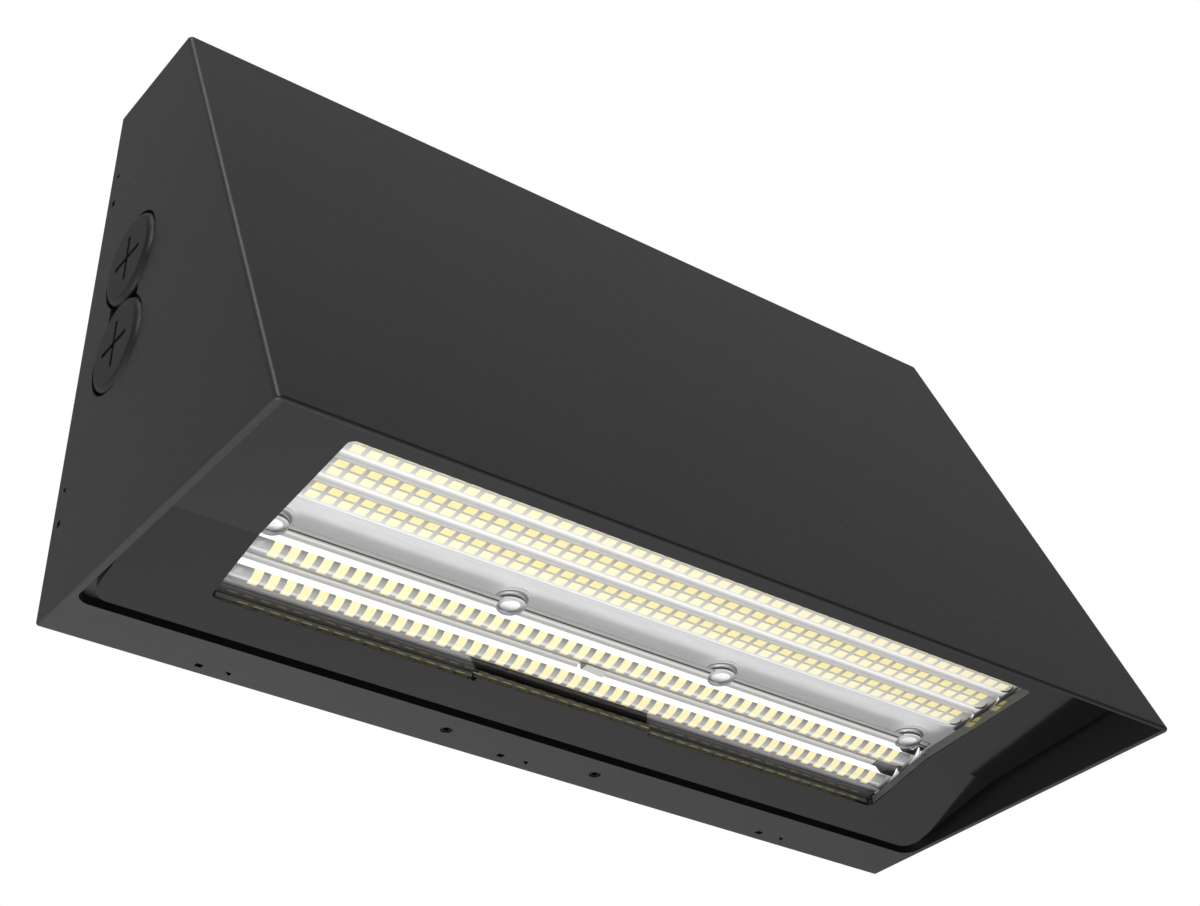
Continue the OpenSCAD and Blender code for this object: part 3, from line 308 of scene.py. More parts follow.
plugs = [height + "_" + side for height in ("upper", "lower") for side in ("left", "right")]
rubber = silicone_rubber()
finish_nodes(moulded_nylon(), [plug + "_plug" for plug in plugs])
finish_nodes(rubber, [plug + "_seal" for plug in plugs])

# Gaskets of the frame and the window
# Flat rings cut from black silicone sheet, squeezed between the castings and under the lenses.
finish_nodes(rubber, ["frame_gasket", "window_gasket"])

# Lock screws
# Steel set screws with a hex socket and a black oxide finish, in two bosses of the rear flange.
# The oxide's grain is too fine to show, so it is drawn coarser.
oxide_grain = 1.1


def black_oxide():
    """Black oxide on steel: deep black and oily, duller where the oil has dried."""
    material, tree, shader, place = new_material("black_oxide", {
        "Metallic": 0.6, "Specular IOR Level": 0.15})
    oil = add_node(tree, "TexNoise", {"Scale": per_metre(oxide_grain), "Detail": 3}, {"Vector": place})
    vary(tree, shader, oil.outputs["Fac"], ("050505", "0a0a0a"), (0.4, 0.6))
    return material


finish_nodes(black_oxide(), ["lock_screw_left", "lock_screw_right"])

# Wall plate, pins and screws
# The plate is pressed from zinc-coated steel sheet, rolled along the wall; pins and screws are
# turned or headed steel, plated bright; the earth screw has a green chromate over its zinc. The
# plating's grain is too fine to show, so it is drawn coarser.
spangle = 6
flake_range = (0.1, 0.8)
rolling_stretch = (0.06, 1, 1)
plating_grain = 1.6


def rolled_zinc():
    """Zinc-coated steel sheet: pale grey metal with long rolling marks and soft spangle."""
    material, tree, shader, place = new_material("rolled_zinc", {"Metallic": 0.9})
    drawn = add_node(tree, "Mapping", {"Scale": rolling_stretch}, {"Vector": place})
    marks = add_node(tree, "TexNoise", {"Scale": per_metre(plating_grain), "Detail": 3},
                     {"Vector": drawn.outputs["Vector"]})
    flakes = add_node(tree, "TexVoronoi", {"Scale": per_metre(spangle)}, {"Vector": place})
    vary(tree, shader, flakes.outputs["Distance"], ("b4b6b9", "a4a7aa"), between=flake_range)
    vary(tree, shader, marks.outputs["Fac"], gloss=(0.28, 0.42))
    return material


def bright_zinc(name, dark, light, metallic):
    """Plated steel: clear or coloured zinc, bright, mottled where the bath left it thinner."""
    material, tree, shader, place = new_material(name, {"Metallic": metallic})
    mottle = add_node(tree, "TexNoise", {"Scale": per_metre(plating_grain), "Detail": 3}, {"Vector": place})
    vary(tree, shader, mottle.outputs["Fac"], (dark, light), (0.28, 0.45))
    return material


zinc_sheet = rolled_zinc()
plated = bright_zinc("bright_zinc", "9c9fa3", "bdbfc2", 0.9)
finish_nodes(zinc_sheet, ["back_plate"])
finish_nodes(plated, ["hinge_pins", "frame_screws", "carrier_screws", "driver_screws", "terminal_screws"])
finish_nodes(bright_zinc("green_zinc", "2c6a38", "3a8047", 0.5), ["ground_screw"])

# Wall gasket
# A sheet of closed-cell foam glued to the plate's back, cut open round the wire entry.
foam_cell = 1.2
cell_range = (0.1, 0.7)
cell_relief = 0.0004


def closed_cell_foam():
    """Closed-cell foam: dull black, with the open pores of its cut face."""
    material, tree, shader, place = new_material("closed_cell_foam", {
        "Roughness": 0.9, "Specular IOR Level": 0.2})
    cells = add_node(tree, "TexVoronoi", {"Scale": per_metre(foam_cell)}, {"Vector": place})
    vary(tree, shader, cells.outputs["Distance"], ("181819", "2a2a2b"), relief=(0.5, cell_relief),
         between=cell_range)
    return material


finish_nodes(closed_cell_foam(), ["wall_gasket"])

# Terminal block, connectors and leads
# White moulded polyamide blocks with plated screws, and the short jumper in red silicone wire.
flow_mark = 2.0


def white_polyamide():
    """Polyamide, moulded: a warm white with a low gloss and slight flow marks."""
    material, tree, shader, place = new_material("white_polyamide", {"IOR": 1.53, "Roughness": 0.4})
    flow = add_node(tree, "TexNoise", {"Scale": per_metre(flow_mark)}, {"Vector": place})
    vary(tree, shader, flow.outputs["Fac"], ("dcdcd8", "e8e8e4"))
    return material


def silicone_wire():
    """Silicone insulation on a lead: red, waxy, with a fine talc haze."""
    material, tree, shader, place = new_material("silicone_wire", {"IOR": 1.41, "Roughness": 0.42})
    talc = add_node(tree, "TexNoise", {"Scale": per_metre(silicone_grain)}, {"Vector": place})
    vary(tree, shader, talc.outputs["Fac"], ("a01814", "b82620"))
    return material


finish_nodes(white_polyamide(), ["terminal_block", "board_connectors"])
finish_nodes(silicone_wire(), ["led_leads"])

# Driver and surge protector
# The driver sits in a folded steel case with a painted cover, full of potting; the surge
# protector beside it is a small box of the plugs' black nylon.
paint_peel = 1.8


def stoved_paint():
    """White stoving paint on steel: pale, half gloss, with a light orange peel."""
    material, tree, shader, place = new_material("stoved_paint", {"IOR": 1.5, "Roughness": 0.42})
    peel = add_node(tree, "TexNoise", {"Scale": per_metre(paint_peel), "Detail": 2}, {"Vector": place})
    vary(tree, shader, peel.outputs["Fac"], ("d6d7d6", "e0e1e0"), relief=(0.4, peel_relief))
    return material


finish_nodes(zinc_sheet, ["driver_case"])
finish_nodes(stoved_paint(), ["driver_cover"])
finish_nodes(moulded_nylon(), ["surge_protector"])

# Heat spreader
# A bent plate of mill-finish aluminium with fins on its back. Its pale underside shows between
# the two lenses, with a painted glow that lifts it where the recess keeps it in shade. Its rolling
# lines are too fine to show, so they are drawn coarser.
rolling_line = 2.4
spreader_stretch = (0.2, 1, 1)


def mill_aluminium_painted_glow():
    """Rolled aluminium, as it left the mill: pale, matt, with faint lines along its length and a painted
    glow.
    """
    material, tree, shader, place = new_material("mill_aluminium_painted_glow", {
        "Metallic": 0.15, "Specular IOR Level": 0.3,
        "Emission Color": linear("c8c8c9"), "Emission Strength": 0.42})
    drawn = add_node(tree, "Mapping", {"Scale": spreader_stretch}, {"Vector": place})
    lines = add_node(tree, "TexNoise", {"Scale": per_metre(rolling_line), "Detail": 3},
                     {"Vector": drawn.outputs["Vector"]})
    vary(tree, shader, lines.outputs["Fac"], ("a4a4a5", "aeaeaf"), (0.5, 0.62))
    return material


finish_nodes(mill_aluminium_painted_glow(), ["led_carrier"])

# Boards
# Aluminium-cored boards with a white solder mask, face down behind the lenses. The mask's grain is
# too fine to show, so it is drawn coarser.
mask_grain = 2.0


def solder_mask():
    """White solder mask: a cool grey in the shade of the lens, with a fine silk-like mottle."""
    material, tree, shader, place = new_material("solder_mask", {"IOR": 1.5, "Roughness": 0.45})
    silk = add_node(tree, "TexNoise", {"Scale": per_metre(mask_grain)}, {"Vector": place})
    vary(tree, shader, silk.outputs["Fac"], ("b4b4b8", "bebec2"))
    return material


finish_nodes(solder_mask(), ["front_led_board", "rear_led_board"])

# Front channels
# Under each bar of the front lens lies a channel with the packages, drawn as a plate with painted
# bands of grey and white and a faint painted glow for the light that the bar bends, and between
# two channels a painted highlight line where the edges of the bars gather the light. All is laid
# out in millimetres on the frame's front face: x along the light, y to the rear from the bend, z up
# from the face.
millimetre = 0.001
bend_at = np.array([0, -78.6, -99.0])
front_tilt = math.radians(4.66)
board_face = 6.3
led_face = 5.6
channel_middles = [-49.55, -36.1, -22.65]
channel_reach = (-4.5, 8.95)
channel_x = (-141.0, 139.5)
channel_shades = [(-4.5, "b2b1b0"), (-3.6, "908e88"), (-0.5, "a5a4a1"), (2.8, "b6b4b2"), (4.4, "bebcb8"),
                  (5.6, "e6e5e2"), (6.9, "b8b7b4"), (7.9, "a0a0a0"), (8.95, "b3b3b2")]
last_channel_reach = (-4.5, 7.4)
last_shades = channel_shades[:4] + [(4.4, "c0c0c0"), (5.2, "dcdcdc"), (6.1, "b4b4b4"),
                                    (7.1, "c4c4c4"), (7.4, "bcbcbc")]
channel_lift = 0.15
channel_gap = 0.05
channel_z = (led_face + channel_lift, board_face - channel_gap)
channel_corner = 3.0
channel_glow = 0.08
bar_gloss = 0.3


def on_face(points, tilt):
    """Turns face coordinates in millimetres into frame coordinates in metres.

    A face is turned about X by minus its tilt t: y' = y cos t + z sin t, z' = z cos t - y sin t."""
    x, y, z = np.moveaxis(np.asarray(points, float), -1, 0)
    turned = np.stack([x, y * math.cos(tilt) + z * math.sin(tilt),
                       z * math.cos(tilt) - y * math.sin(tilt)], -1)
    return (bend_at + turned) * millimetre


def add_piece(name, points, faces, material, replaced=None, smooth=False):
    """A mesh at the origin that rides on the housing, with the given material."""
    mesh = bpy.data.meshes.new(name)
    mesh.from_pydata(np.reshape(points, (-1, 3)).tolist(), [], [list(map(int, f)) for f in faces])
    mesh.materials.append(material)
    mesh.polygons.foreach_set("use_smooth", [smooth] * len(mesh.polygons))
    mesh.validate()
    piece = bpy.data.objects.new(name, mesh)
    bpy.context.collection.objects.link(piece)
    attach(piece, "housing")
    if replaced:
        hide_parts(replaced)
    return piece


def tint(tree, shader, colour):
    """Feeds one colour to the surface and to the faint light of its own."""
    for socket in ("Base Color", "Emission Color"):
        tree.links.new(colour, shader.inputs[socket])


def shade_span(shades):
    """The first and the last distance of a row of shades."""
    return shades[0][0], shades[-1][0]


def acrylic_painted_bands(name, tilt, shades, glow=0.0):
    """Painted light and shade of moulded acrylic seen through its own curves: bands of grey and white that
    run along it, with a painted glow of the given strength.

    The shades are (y in millimetres, hex), where a point's y is its distance along the face's slope
    from the bend."""
    material, tree, shader, place = new_material(name, {
        "IOR": 1.49, "Roughness": 0.3, "Specular IOR Level": bar_gloss, "Emission Strength": glow})
    low, high = shade_span(shades)
    slope = np.array([0, math.cos(tilt), -math.sin(tilt)])
    start = float(bend_at @ slope)
    along = add_node(tree, "VectorMath", {"operation": "DOT_PRODUCT", 1: slope}, {0: place})
    share = add_node(tree, "MapRange", {"From Min": (start + low) * millimetre,
                                        "From Max": (start + high) * millimetre},
                     {"Value": along.outputs["Value"]})
    shade = add_node(tree, "ValToRGB", links={"Fac": share.outputs["Result"]},
                     stops=[((y - low) / (high - low), code) for y, code in shades])
    tint(tree, shader, shade.outputs["Color"])
    return material


def grid_faces(rows, columns, first=0, closed=False):
    """Quads between the rows of a grid of points, also from the last column to the first if closed."""
    starts = np.arange(columns if closed else columns - 1)
    after = (starts + 1) % columns
    row = first + np.arange(rows - 1)[:, None] * columns
    quads = np.stack([row + starts, row + after, row + columns + after, row + columns + starts], -1)
    return quads.reshape(-1, 4).tolist()


def plate_faces(count, corners):
    """Faces of closed plates, each with its points on one side and then the same on the other.

    Each plate has a wall between every two corners, and both of its sides face outwards."""
    corner = np.arange(corners)
    after = (corner + 1) % corners
    walls = np.stack([corner, after, corners + after, corners + corner], -1)
    sides = np.stack([corner[::-1], corners + corner])
    first = np.arange(count)[:, None, None] * 2 * corners
    return (first + walls).reshape(-1, 4).tolist() + (first + sides).reshape(-1, corners).tolist()


def add_plates(name, outlines, low, high, tilt, material, slot="lens", replaced=None):
    """One piece of closed plates, from outlines of (x, y) that run anticlockwise seen from above.

    Each plate is its outline at the height low, the same at the height high, and walls between."""
    outlines = np.array(outlines, float)
    count, corners = outlines.shape[:2]
    points = np.zeros((count, 2, corners, 3))
    points[..., :2] = outlines[:, None]
    points[:, 0, :, 2] = low
    points[:, 1, :, 2] = high
    add_piece(name, on_face(points, tilt), plate_faces(count, corners), material, replaced)


def round_ended(from_x, to_x, from_y, to_y, corner, steps=7):
    """Outline of a rectangle whose two corners at the high x end are rounded, anticlockwise.

    Each of the two is a quarter circle: its centre plus corner times (cos a, sin a)."""
    turn = np.linspace(-math.pi / 2, math.pi / 2, 2 * steps)
    middle_y = np.where(turn < 0, from_y + corner, to_y - corner)
    end = np.stack([to_x - corner + corner * np.cos(turn), middle_y + corner * np.sin(turn)], -1)
    return np.concatenate([[(from_x, from_y)], end, [(from_x, to_y)]])


# Each channel is a plate with painted bands of light and shade and a faint painted glow.
for k, middle in enumerate(channel_middles):
    last = k == len(channel_middles) - 1
    reach = last_channel_reach if last else channel_reach
    shades = [(middle + y, code) for y, code in (last_shades if last else channel_shades)]
    look = acrylic_painted_bands("channel_look_%d" % k, front_tilt, shades, channel_glow)
    outline = round_ended(*channel_x, middle + reach[0], middle + reach[1], channel_corner)
    add_plates("front_channel_%d" % k, [outline], *channel_z, front_tilt, look)

# Front light sources
# Each package has two phosphor fields in clear silicone. The bar over them draws the rear one
# longer than the front one and in a paler painted colour for the light it bends, and the row at
# the lens's edge a little wider. Both fields have a faint painted glow. The powder's grain is too
# fine to show, so it is drawn coarser.
front_columns = 47
front_pitch = 5.77
field_w = 4.15
field_corner = 0.3
field_t = 0.1
near_field = (-3.95, -0.6)
far_field = (0.35, 4.1)
edge_shift = (1.2, 0.3)
edge_stretch = 1.006
phosphor_grain = 0.5
powder_range = (0.35, 0.65)


def phosphor(name, dark, light):
    """Phosphor powder in silicone: a pale yellow with a fine grain and a faint painted glow."""
    material, tree, shader, place = new_material(name, {
        "IOR": 1.41, "Roughness": 0.5, "Specular IOR Level": 0.3, "Emission Strength": 0.12})
    powder = add_node(tree, "TexNoise", {"Scale": per_metre(phosphor_grain), "Detail": 2}, {"Vector": place})
    tone = add_node(tree, "ValToRGB", links={"Fac": powder.outputs["Fac"]},
                    stops=list(zip(powder_range, (dark, light))))
    tint(tree, shader, tone.outputs["Color"])
    return material


def round_rectangle(width, length, corner, steps=3):
    """Outline of a rectangle with round corners about its middle, anticlockwise.

    Each corner is a quarter circle of steps points about its own centre."""
    turn = (np.arange(4)[:, None] + np.linspace(0, 1, steps)).ravel() * math.pi / 2
    side_x = np.repeat([1, -1, -1, 1], steps)
    side_y = np.repeat([1, 1, -1, -1], steps)
    return np.stack([side_x * (width / 2 - corner) + corner * np.cos(turn),
                     side_y * (length / 2 - corner) + corner * np.sin(turn)], -1)


def package_fields(name, span, material):
    """One field of every package, between two distances from the middle of its channel."""
    x = (np.arange(front_columns) - (front_columns - 1) / 2) * front_pitch
    grid_x, grid_y = np.meshgrid(x, np.array(channel_middles) + sum(span) / 2)
    grid_x[0] = grid_x[0] * edge_stretch + edge_shift[0]
    grid_y[0] += edge_shift[1]
    middles = np.stack([grid_x.ravel(), grid_y.ravel()], -1)
    outlines = middles[:, None] + round_rectangle(field_w, span[1] - span[0], field_corner)
    add_plates(name, outlines, led_face, led_face + field_t, front_tilt, material, "phosphor", "front_leds")


package_fields("front_fields_near", near_field, phosphor("near_phosphor", "d8cc92", "dfd49e"))
package_fields("front_fields_far", far_field, phosphor("far_phosphor", "ded6b0", "e4debc"))

# Channel ends
# Each channel ends in a moulded round edge: a painted dark line of shade under it, and beyond it a
# painted bright arc, with a painted glow, for the highlight where the end of the bar catches the
# lamp.
dark_end = [(138.2, 0.2), (138.9, 3.6), (136.2, 4.8)]
dark_end_w = 0.7
dark_end_drop = 0.1
bright_end = [(138.6, -5.2), (140.6, -1.8), (141.0, 2.2)]
bright_end_w = 0.75
bright_end_drop = 0.3
end_t = 0.2
tip_share = 0.02


def acrylic_painted_tone(name, colour, glow, roughness=0.25):
    """One painted tone of light or shade on clear acrylic, with a painted glow, a polished skin and faint
    flow lines.
    """
    material, tree, shader, place = new_material(name, {
        "IOR": 1.49, "Roughness": roughness, "Specular IOR Level": bar_gloss, "Base Color": linear(colour),
        "Emission Color": linear(colour), "Emission Strength": glow})
    flow = add_node(tree, "TexNoise", {"Scale": per_metre(flow_mark)}, {"Vector": place})
    vary(tree, shader, flow.outputs["Fac"], relief=(0.1, peel_relief))
    return material


def tapered_ribbon(through, width, steps=14):
    """Outline of a ribbon along a curve through three points, pointed at both ends.

    The curve is the parabola p0 (1-t)(1-2t) + p1 4t(1-t) + p2 t(2t-1), t from 0 to 1, and the
    ribbon's half width is width / 2 times the square root of sin(pi t), or of tip_share."""
    t = np.linspace(0, 1, steps)[:, None]
    p0, p1, p2 = np.array(through, float)
    path = p0 * (1 - t) * (1 - 2 * t) + p1 * 4 * t * (1 - t) + p2 * t * (2 * t - 1)
    along = np.gradient(path, axis=0)
    across = np.stack([along[:, 1], -along[:, 0]], -1) / np.linalg.norm(along, axis=1)[:, None]
    half = width / 2 * np.sqrt(np.clip(np.sin(math.pi * t), tip_share, 1))
    return np.concatenate([path + across * half, (path - across * half)[::-1]])


# A glowing painted highlight and a painted dark shade, drawn as flat acrylic plates.
painted_edge_highlight = acrylic_painted_tone("painted_edge_highlight", "f2f2f2", 0.25)
painted_dark_shade = acrylic_painted_tone("painted_dark_shade", "0c0c0c", 0.0, 0.6)
for name, end, width, drop, look in [
        ("front_channel_shades", dark_end, dark_end_w, dark_end_drop, painted_dark_shade),
        ("front_channel_glints", bright_end, bright_end_w, bright_end_drop, painted_edge_highlight)]:
    paths = [[(x, middle + y) for x, y in end] for middle in channel_middles]
    low = led_face - drop
    add_plates(name, [tapered_ribbon(path, width) for path in paths], low, low + end_t, front_tilt, look)

# Front lens
# A clear acrylic sheet, moulded with three long half-round bars on its underside and clamped
# by the frame against the front board.
lens_half_w = 143.5
lens_t = 1.2
gasket_top = 4.0
front_bar = (11, 1.6, 274)
front_span = (-60.5, -2.9)
flow_wave = 8
flow_relief = 0.0001
sheen_share = (0.015, 0.12)
edge_step = 0.1
arc_steps = 17
end_steps = 12


def clear_acrylic():
    """Clear acrylic, moulded and polished: see-through, with a sheen that grows at grazing angles.

    It shows what lies straight behind it, because the painted bands behind it hold the light and
    shade that its curves bend."""
    material, tree, shader, place = new_material("clear_acrylic", {})
    tree.nodes.remove(shader)
    flow = add_node(tree, "TexNoise", {"Scale": per_metre(flow_wave)}, {"Vector": place})
    relief = add_node(tree, "Bump", {"Strength": 0.2, "Distance": flow_relief},
                      {"Height": flow.outputs["Fac"]})
    facing = add_node(tree, "LayerWeight", {"Blend": 0.2})
    share = add_node(tree, "MapRange", {"To Min": sheen_share[0], "To Max": sheen_share[1]},
                     {"Value": facing.outputs["Facing"]})
    through = add_node(tree, "BsdfTransparent", {"Color": linear("fefefe")})
    sheen = add_node(tree, "BsdfGlossy", {"Roughness": 0.08}, {"Normal": relief.outputs["Normal"]})
    mix = add_node(tree, "MixShader",
                   links={"Fac": share.outputs["Result"], 1: through.outputs[0], 2: sheen.outputs[0]})
    tree.links.new(mix.outputs["Shader"], tree.nodes["Material Output"].inputs["Surface"])
    return material


def barred_sheet(name, tilt, span, low, bars, bar, replaced):
    """A clear sheet whose underside carries bars with round ends.

    With d the distance from a bar's middle line, w its width and h its height, the underside is
    low - h sqrt(1 - (2 d / w)^2). A narrow step beside each bar and rim keeps the flat parts flat."""
    bar_w, bar_h, bar_l = bar
    straight = bar_l / 2 - bar_w / 2
    ends = straight + bar_w / 2 * np.sin(np.linspace(0, math.pi / 2, end_steps))
    ends = np.append(ends, bar_l / 2 + edge_step)
    sides = np.array([lens_half_w - edge_step, lens_half_w])
    x = np.concatenate([-sides[::-1], -ends[::-1], ends, sides])
    arc = np.sin(np.linspace(-math.pi / 2, math.pi / 2, arc_steps)) * bar_w / 2
    arc = np.concatenate([[arc[0] - edge_step], arc, [arc[-1] + edge_step]])
    rims = [span[0], span[0] + edge_step, span[1] - edge_step, span[1]]
    y = np.unique(np.concatenate([rims] + [middle + arc for middle in bars]).clip(*span))
    grid_x, grid_y = np.meshgrid(x, y)
    over = np.maximum(np.abs(grid_x) - straight, 0)
    apart = np.min([np.hypot(over, grid_y - middle) for middle in bars], 0) * 2 / bar_w
    z = low - bar_h * np.sqrt(np.clip(1 - apart ** 2, 0, 1))
    under = np.stack([grid_x, grid_y, z], -1)
    top = np.array([(x[0], y[0]), (x[-1], y[0]), (x[-1], y[-1]), (x[0], y[-1])])
    lid = np.concatenate([top, np.full((4, 1), low + lens_t)], 1)
    rows, columns = grid_x.shape
    first = rows * columns
    a, b, c, d = range(first, first + 4)
    faces = [quad[::-1] for quad in grid_faces(rows, columns)]
    faces.append([a, b, c, d])
    faces.append(list(range(columns)) + [b, a])
    faces.append([d, c] + list(range(first - 1, first - columns - 1, -1)))
    faces.append([a, d] + list(range(first - columns, -1, -columns)))
    faces.append([c, b] + list(range(columns - 1, first, columns)))
    points = np.concatenate([under.reshape(-1, 3), lid])
    sheet = add_piece(name, on_face(points, tilt), faces, acrylic, replaced)
    flat_faces = 5
    sheet.data.polygons.foreach_set("use_smooth", np.arange(len(faces)) < len(faces) - flat_faces)


acrylic = clear_acrylic()
barred_sheet("front_lens_sheet", front_tilt, front_span, gasket_top, channel_middles, front_bar,
             "front_lens")

# Rear light sources
# Behind the higher bars each package of the two rear rows looks like a tall stripe with a pale
# foot, on a grey ground that grows lighter towards the foot. The paler foot, the darker tip and
# the ground's bands are painted light and shade for what the bars bend, and the ground has a faint
# painted glow.
rear_tilt = math.radians(12.6)
rear_drop = 0.6
rear_face = led_face - rear_drop
rear_columns = 45
rear_pitch = 5.9
rear_places = (np.arange(rear_columns) - (rear_columns - 1) / 2) * rear_pitch
stripe_w = 3.4
stripe_spans = np.array([[4.95, 12.35], [19.3, 26.75]])
lean_start = np.array([0.6, 1.1])
lean_more = np.array([0.68, 0.95])
lean_spread = 0.0026
spread_kept = 0.4
stripe_steps = 8
foot_shares = (0.74, 0.9)
rear_x = (-141.0, 139.4)
ground_t = 0.2
ground_z = (rear_face + channel_lift, rear_face + channel_lift + ground_t)
ground_corner = 3.5
ground_glow = 0.06
ground_shades = [[(4.9, "c4c4c4"), (5.4, "666666"), (7.6, "8c8d8b"), (9.6, "9c9d9c"), (10.9, "d2d2d2"),
                  (11.9, "949491"), (13.2, "868583")],
                 [(19.2, "d2d2d2"), (19.9, "686868"), (21.9, "8e908d"), (24.1, "9e9f9e"), (25.2, "c8c8c8"),
                  (26.2, "6c6c6c"), (27.4, "838383")]]


def stripe_pieces(name, shares, material):
    """The part of every stripe between two shares of its length.

    A stripe's middle line is x + a + b (1 - (1 - s)^2) with s its share from front to rear, where
    a and b are the row's lean at its start and its further lean, both growing along x."""
    s = np.linspace(*shares, stripe_steps)
    columns = rear_places[:, None]
    outlines = []
    for (low, high), start, more in zip(stripe_spans, lean_start, lean_more):
        spread = lean_spread * columns
        eased = 1 - np.clip(1 - s / foot_shares[0], 0, 1) ** 2
        line = columns + start + spread + (more + spread_kept * spread) * eased
        y = np.broadcast_to(low + s * (high - low), line.shape)
        right = np.stack([line + stripe_w / 2, y], -1)
        left = np.stack([line - stripe_w / 2, y], -1)[:, ::-1]
        outlines.append(np.concatenate([right, left], 1))
    add_plates(name, np.concatenate(outlines), rear_face, rear_face + field_t, rear_tilt, material,
               "phosphor", "rear_leds")


stripe_pieces("rear_stripes", (0, foot_shares[0]), phosphor("stripe_phosphor", "e0d4a2", "e6dcae"))
stripe_pieces("rear_stripe_feet", foot_shares, phosphor("foot_phosphor", "e3dec6", "e8e4d0"))
stripe_pieces("rear_stripe_tips", (foot_shares[1], 1), phosphor("tip_phosphor", "d2c48c", "d9cb97"))
for k, shades in enumerate(ground_shades):
    look = acrylic_painted_bands("rear_ground_look_%d" % k, rear_tilt, shades, ground_glow)
    outline = round_ended(*rear_x, *shade_span(shades), ground_corner)
    add_plates("rear_ground_%d" % k, [outline], *ground_z, rear_tilt, look)

# Bands of the rear lens
# Before each row the sheet has a moulded ridge, drawn as painted highlight bands, and a steep
# facet drawn as a glowing painted white highlight. At the bend, in the gap between the two
# sheets, lies a painted dark line of shade, and a grey edge with a painted dark line of shade and
# a painted glow closes the rear. Round each lens post they are cut away.
post_at = np.array([-75.9, -92.0])
post_pitch = 89.4
post_places = [(k - 1.5) * post_pitch for k in range(4)]
notch_r = 5.1
groove_shades = [(-3.6, "848380"), (-2.1, "94928e"), (-1.75, "1c1b19"), (-1.4, "1c1b19"), (-1.1, "8c8b89"),
                 (-0.9, "a8a8a6")]
ridge_shades = [[(-0.9, "a8a8a6"), (-0.35, "c8c7c6"), (0.7, "979693"), (1.6, "969592"), (2.2, "d6d6d4")],
                [(13.2, "8a8987"), (14.0, "c4c3c1"), (15.0, "9e9c98"), (15.9, "92918e"), (16.5, "d6d6d4")]]
ridge_ends = [136.5, 127.5]
facet_spans = [(2.2, 4.9), (16.5, 19.2)]
facet_ends = [128.8, 130.0]
facet_slope = 1.75
groove_glow = 0.04
groove_lift = 0.1
ridge_glow = 0.08
ridge_crown = 0.15
edge_glow = 0.45
band_start = -141
band_ends = {"groove": 140, "edge": 140.8}
band_t = 0.12
across_steps = 7
least_open = 1e-6
edge_shades = [(27.3, "828282"), (28.3, "646464"), (29.3, "404040"), (29.7, "121212"), (29.95, "121212"),
               (30.3, "3c3c3c"), (34.6, "4c4c4a")]


def seen_before(point, tilt, height):
    """Where, on a plane over a face, the camera sees a point in millimetres: its x and y there.

    The plane is n . p = n . bend + height, and the ray p = c + k (point - c) starts at the camera."""
    normal = np.array([0, math.sin(tilt), math.cos(tilt)])
    slope = np.array([0, math.cos(tilt), -math.sin(tilt)])
    start = camera_at / millimetre
    ray = point - start
    hit = start + ray * (height - normal @ (start - bend_at)) / (normal @ ray)
    return hit[0], slope @ (hit - bend_at)


def band(name, span, from_x, to_x, material, height=rear_face, crown=0.0, slope=0.0):
    """A band along the rear face with round notches for the posts.

    Its underside is height - crown (1 - u^2), with u from -1 to 1 across it. Where a post's circle
    of radius r covers a place, the band keeps off its middle line by sqrt(r^2 - (x - x0)^2). The
    end at high x slants by slope millimetres for each millimetre of y."""
    arc = np.sin(np.linspace(-math.pi / 2, math.pi / 2, arc_steps)) * notch_r
    x = np.concatenate([[from_x, to_x]] + [place + arc for place, _ in notches])
    x = np.unique(x[(x >= from_x) & (x <= to_x)])
    reach = np.zeros_like(x)
    for place, _ in notches:
        reach = np.maximum(reach, np.sqrt(np.clip(notch_r ** 2 - (x - place) ** 2, 0, None)))
    middle = notches[0][1]
    split = np.clip(middle, *span)
    before = np.clip(np.where(reach > 0, middle - reach, split), span[0], split)
    behind = np.clip(np.where(reach > 0, middle + reach, split), split, span[1])
    across = np.linspace(0, 1, across_steps)
    points, faces = [], []
    for front, rear in [(np.full_like(x, span[0]), before), (behind, np.full_like(x, span[1]))]:
        y = front[:, None] + (rear - front)[:, None] * across
        u = (2 * y - sum(span)) / (span[1] - span[0])
        z = height - crown * (1 - u ** 2)
        long = x[:, None] + np.where(x == to_x, slope, 0)[:, None] * (y - span[0])
        under = np.stack([long, y, z], -1)
        over = np.stack([long, y, np.full_like(y, height + band_t)], -1)[:, ::-1]
        ring = np.concatenate([under, over], 1)
        count = ring.shape[1]
        first = sum(len(p) for p in points)
        open_at = rear - front > least_open
        quads = np.array(grid_faces(len(x), count, first, closed=True)).reshape(len(x) - 1, count, 4)
        faces += quads[open_at[:-1] | open_at[1:]].reshape(-1, 4)[:, ::-1].tolist()
        if open_at[0]:
            faces.append(list(range(first, first + count)))
        if open_at[-1]:
            last = first + len(x) * count
            faces.append(list(range(last - 1, last - count - 1, -1)))
        points.append(ring.reshape(-1, 3))
    add_piece(name, on_face(np.concatenate(points), rear_tilt), faces, material)


notches = [seen_before(np.array([x, *post_at]), rear_tilt, rear_face) for x in post_places]
groove_look = acrylic_painted_bands("groove_look", rear_tilt, groove_shades, groove_glow)
band("rear_groove", shade_span(groove_shades), band_start, band_ends["groove"], groove_look,
     rear_face + groove_lift)
# The steep facets are a glowing painted white highlight.
painted_facet_highlight = acrylic_painted_tone("painted_facet_highlight", "fbfbfb", 0.3)
for k, shades in enumerate(ridge_shades):
    look = acrylic_painted_bands("ridge_look_%d" % k, rear_tilt, shades, ridge_glow)
    band("rear_ridge_%d" % k, shade_span(shades), band_start, ridge_ends[k], look, crown=ridge_crown)
    band("rear_facet_%d" % k, facet_spans[k], band_start, facet_ends[k], painted_facet_highlight, slope=facet_slope)
edge_look = acrylic_painted_bands("edge_look", rear_tilt, edge_shades, edge_glow)
band("rear_edge", shade_span(edge_shades), band_start, band_ends["edge"], edge_look)

